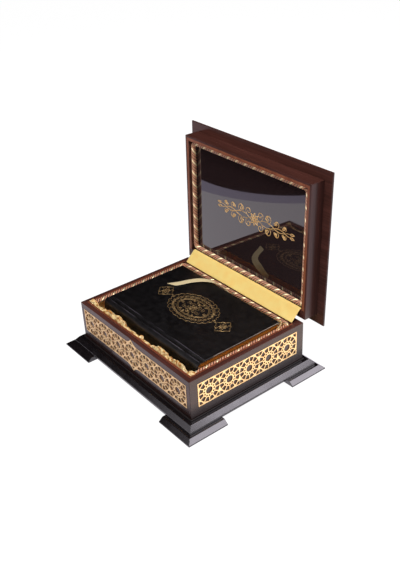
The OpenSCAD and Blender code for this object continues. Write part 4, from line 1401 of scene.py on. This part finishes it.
# %% Bookmark
# Narrow woven ribbon: creamy, with a low silky shine and fine ribs across it.
ribbon_weave = patterned(
    "cream_ribbed_ribbon", {"IOR": 1.5, "Roughness": 0.42, "Sheen Weight": 0.3, "Sheen Roughness": 0.4},
    [(1.2, 1.2, 1.2, 2.0)], colour=(0, 0, 1, "#DCC28A", "#F6E6BC"), bump=(0, 0.2, 0.08))
# Points from the book's left end, its fore edge and the cover's top in mm, and how far the ribbon has leaned
# over there, from standing on edge at 0 degrees to lying flat at 90.
BOOKMARK_ROUTE = [
    ((124, 4, -9), 0), ((114, 4, -5), 11), ((104, 3, -1), 29), ((95, 1, 2), 53), ((86, -2, 3.5), 73),
    ((77, -7, 4), 84), ((69, -14, 4), 90), ((62, -23, 3.5), 90), ((56, -32, 2.5), 90), ((51, -41, 1.5), 90),
    ((46, -50, 0.9), 90), ((42, -57, 0.8), 90)]
BOOKMARK_W = 11.5 * MM
BOOKMARK_T = 0.35 * MM
BOOKMARK_SLANT = 7.5 * MM  # its end is cut at a slant
EASE = 4  # points of the smooth curve for each point of the route
corner = Vector((book_low.x, book_high.y, cover_top))
route = [corner + Vector(p) * MM for p, _ in BOOKMARK_ROUTE]
middles, leans = [], []
for i in range(len(route) - 1):
    a, b = route[max(i - 1, 0)], route[i]
    c, d = route[i + 1], route[min(i + 2, len(route) - 1)]
    for k in range(EASE + (i == len(route) - 2)):
        t = k / EASE
        bend = (2 * a - 5 * b + 4 * c - d) * t ** 2 + (3 * b - a - 3 * c + d) * t ** 3
        middles.append(0.5 * (2 * b + (c - a) * t + bend))
        leans.append(math.radians(BOOKMARK_ROUTE[i][1] * (1 - t) + BOOKMARK_ROUTE[i + 1][1] * t))
rows = []
for i, (middle, lean) in enumerate(zip(middles, leans)):
    onward = (middles[min(i + 1, len(middles) - 1)] - middles[max(i - 1, 0)]).normalized()
    across = Vector((0, math.cos(lean), math.sin(lean))).cross(onward).normalized()
    slant = BOOKMARK_SLANT * max(0, 1 - (len(middles) - 1 - i) / (3 * EASE))
    rows.append([middle + across * s * BOOKMARK_W / 2 - onward * s * slant for s in (-1, -0.5, 0, 0.5, 1)])
bookmark = thickened(cloth_grid("bookmark_ribbon", rows, ribbon_weave), BOOKMARK_T, 1)
stands_for(bookmark, "bookmark")

# %% [markdown]
# ## Hinges
# Two brass butt hinges are let into the back walls and screwed down. Their shape in the frame is already
# the real one, so those nodes stay and only take the finish: rolled brass, brushed along its length, a
# little darker where it has tarnished.

# %% Brass
# Rolled brass: yellow metal with fine scratches along X and brown tarnish in patches.
brass = patterned(
    "brushed_brass", {"Metallic": 1.0}, [(6, 6, 6, 4.0), (9, 0.4, 0.4, 3.0)],
    colour=(0, 0, 1, "#9A7434", "#DDB567"), ranges={"Roughness": (1, 0, 1, 0.22, 0.42)})
brass_nodes = [node for node, slot in slot_of.items() if slot == "hinge_brass"]
for node in brass_nodes:
    frame["nodes"][node].data.materials.clear()
    frame["nodes"][node].data.materials.append(brass)
print("brass on", brass_nodes)

# %% [markdown]
# ## Size
# The dressed object's box is measured and set against the construction model's, and the last line prints
# how far each side has grown.

# %% Size
dressed_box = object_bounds()
growth = [[round((b - a) / MM, 2) for a, b in zip(c, d)] for c, d in zip(construction_box, dressed_box)]
print("grown by", growth, "mm")
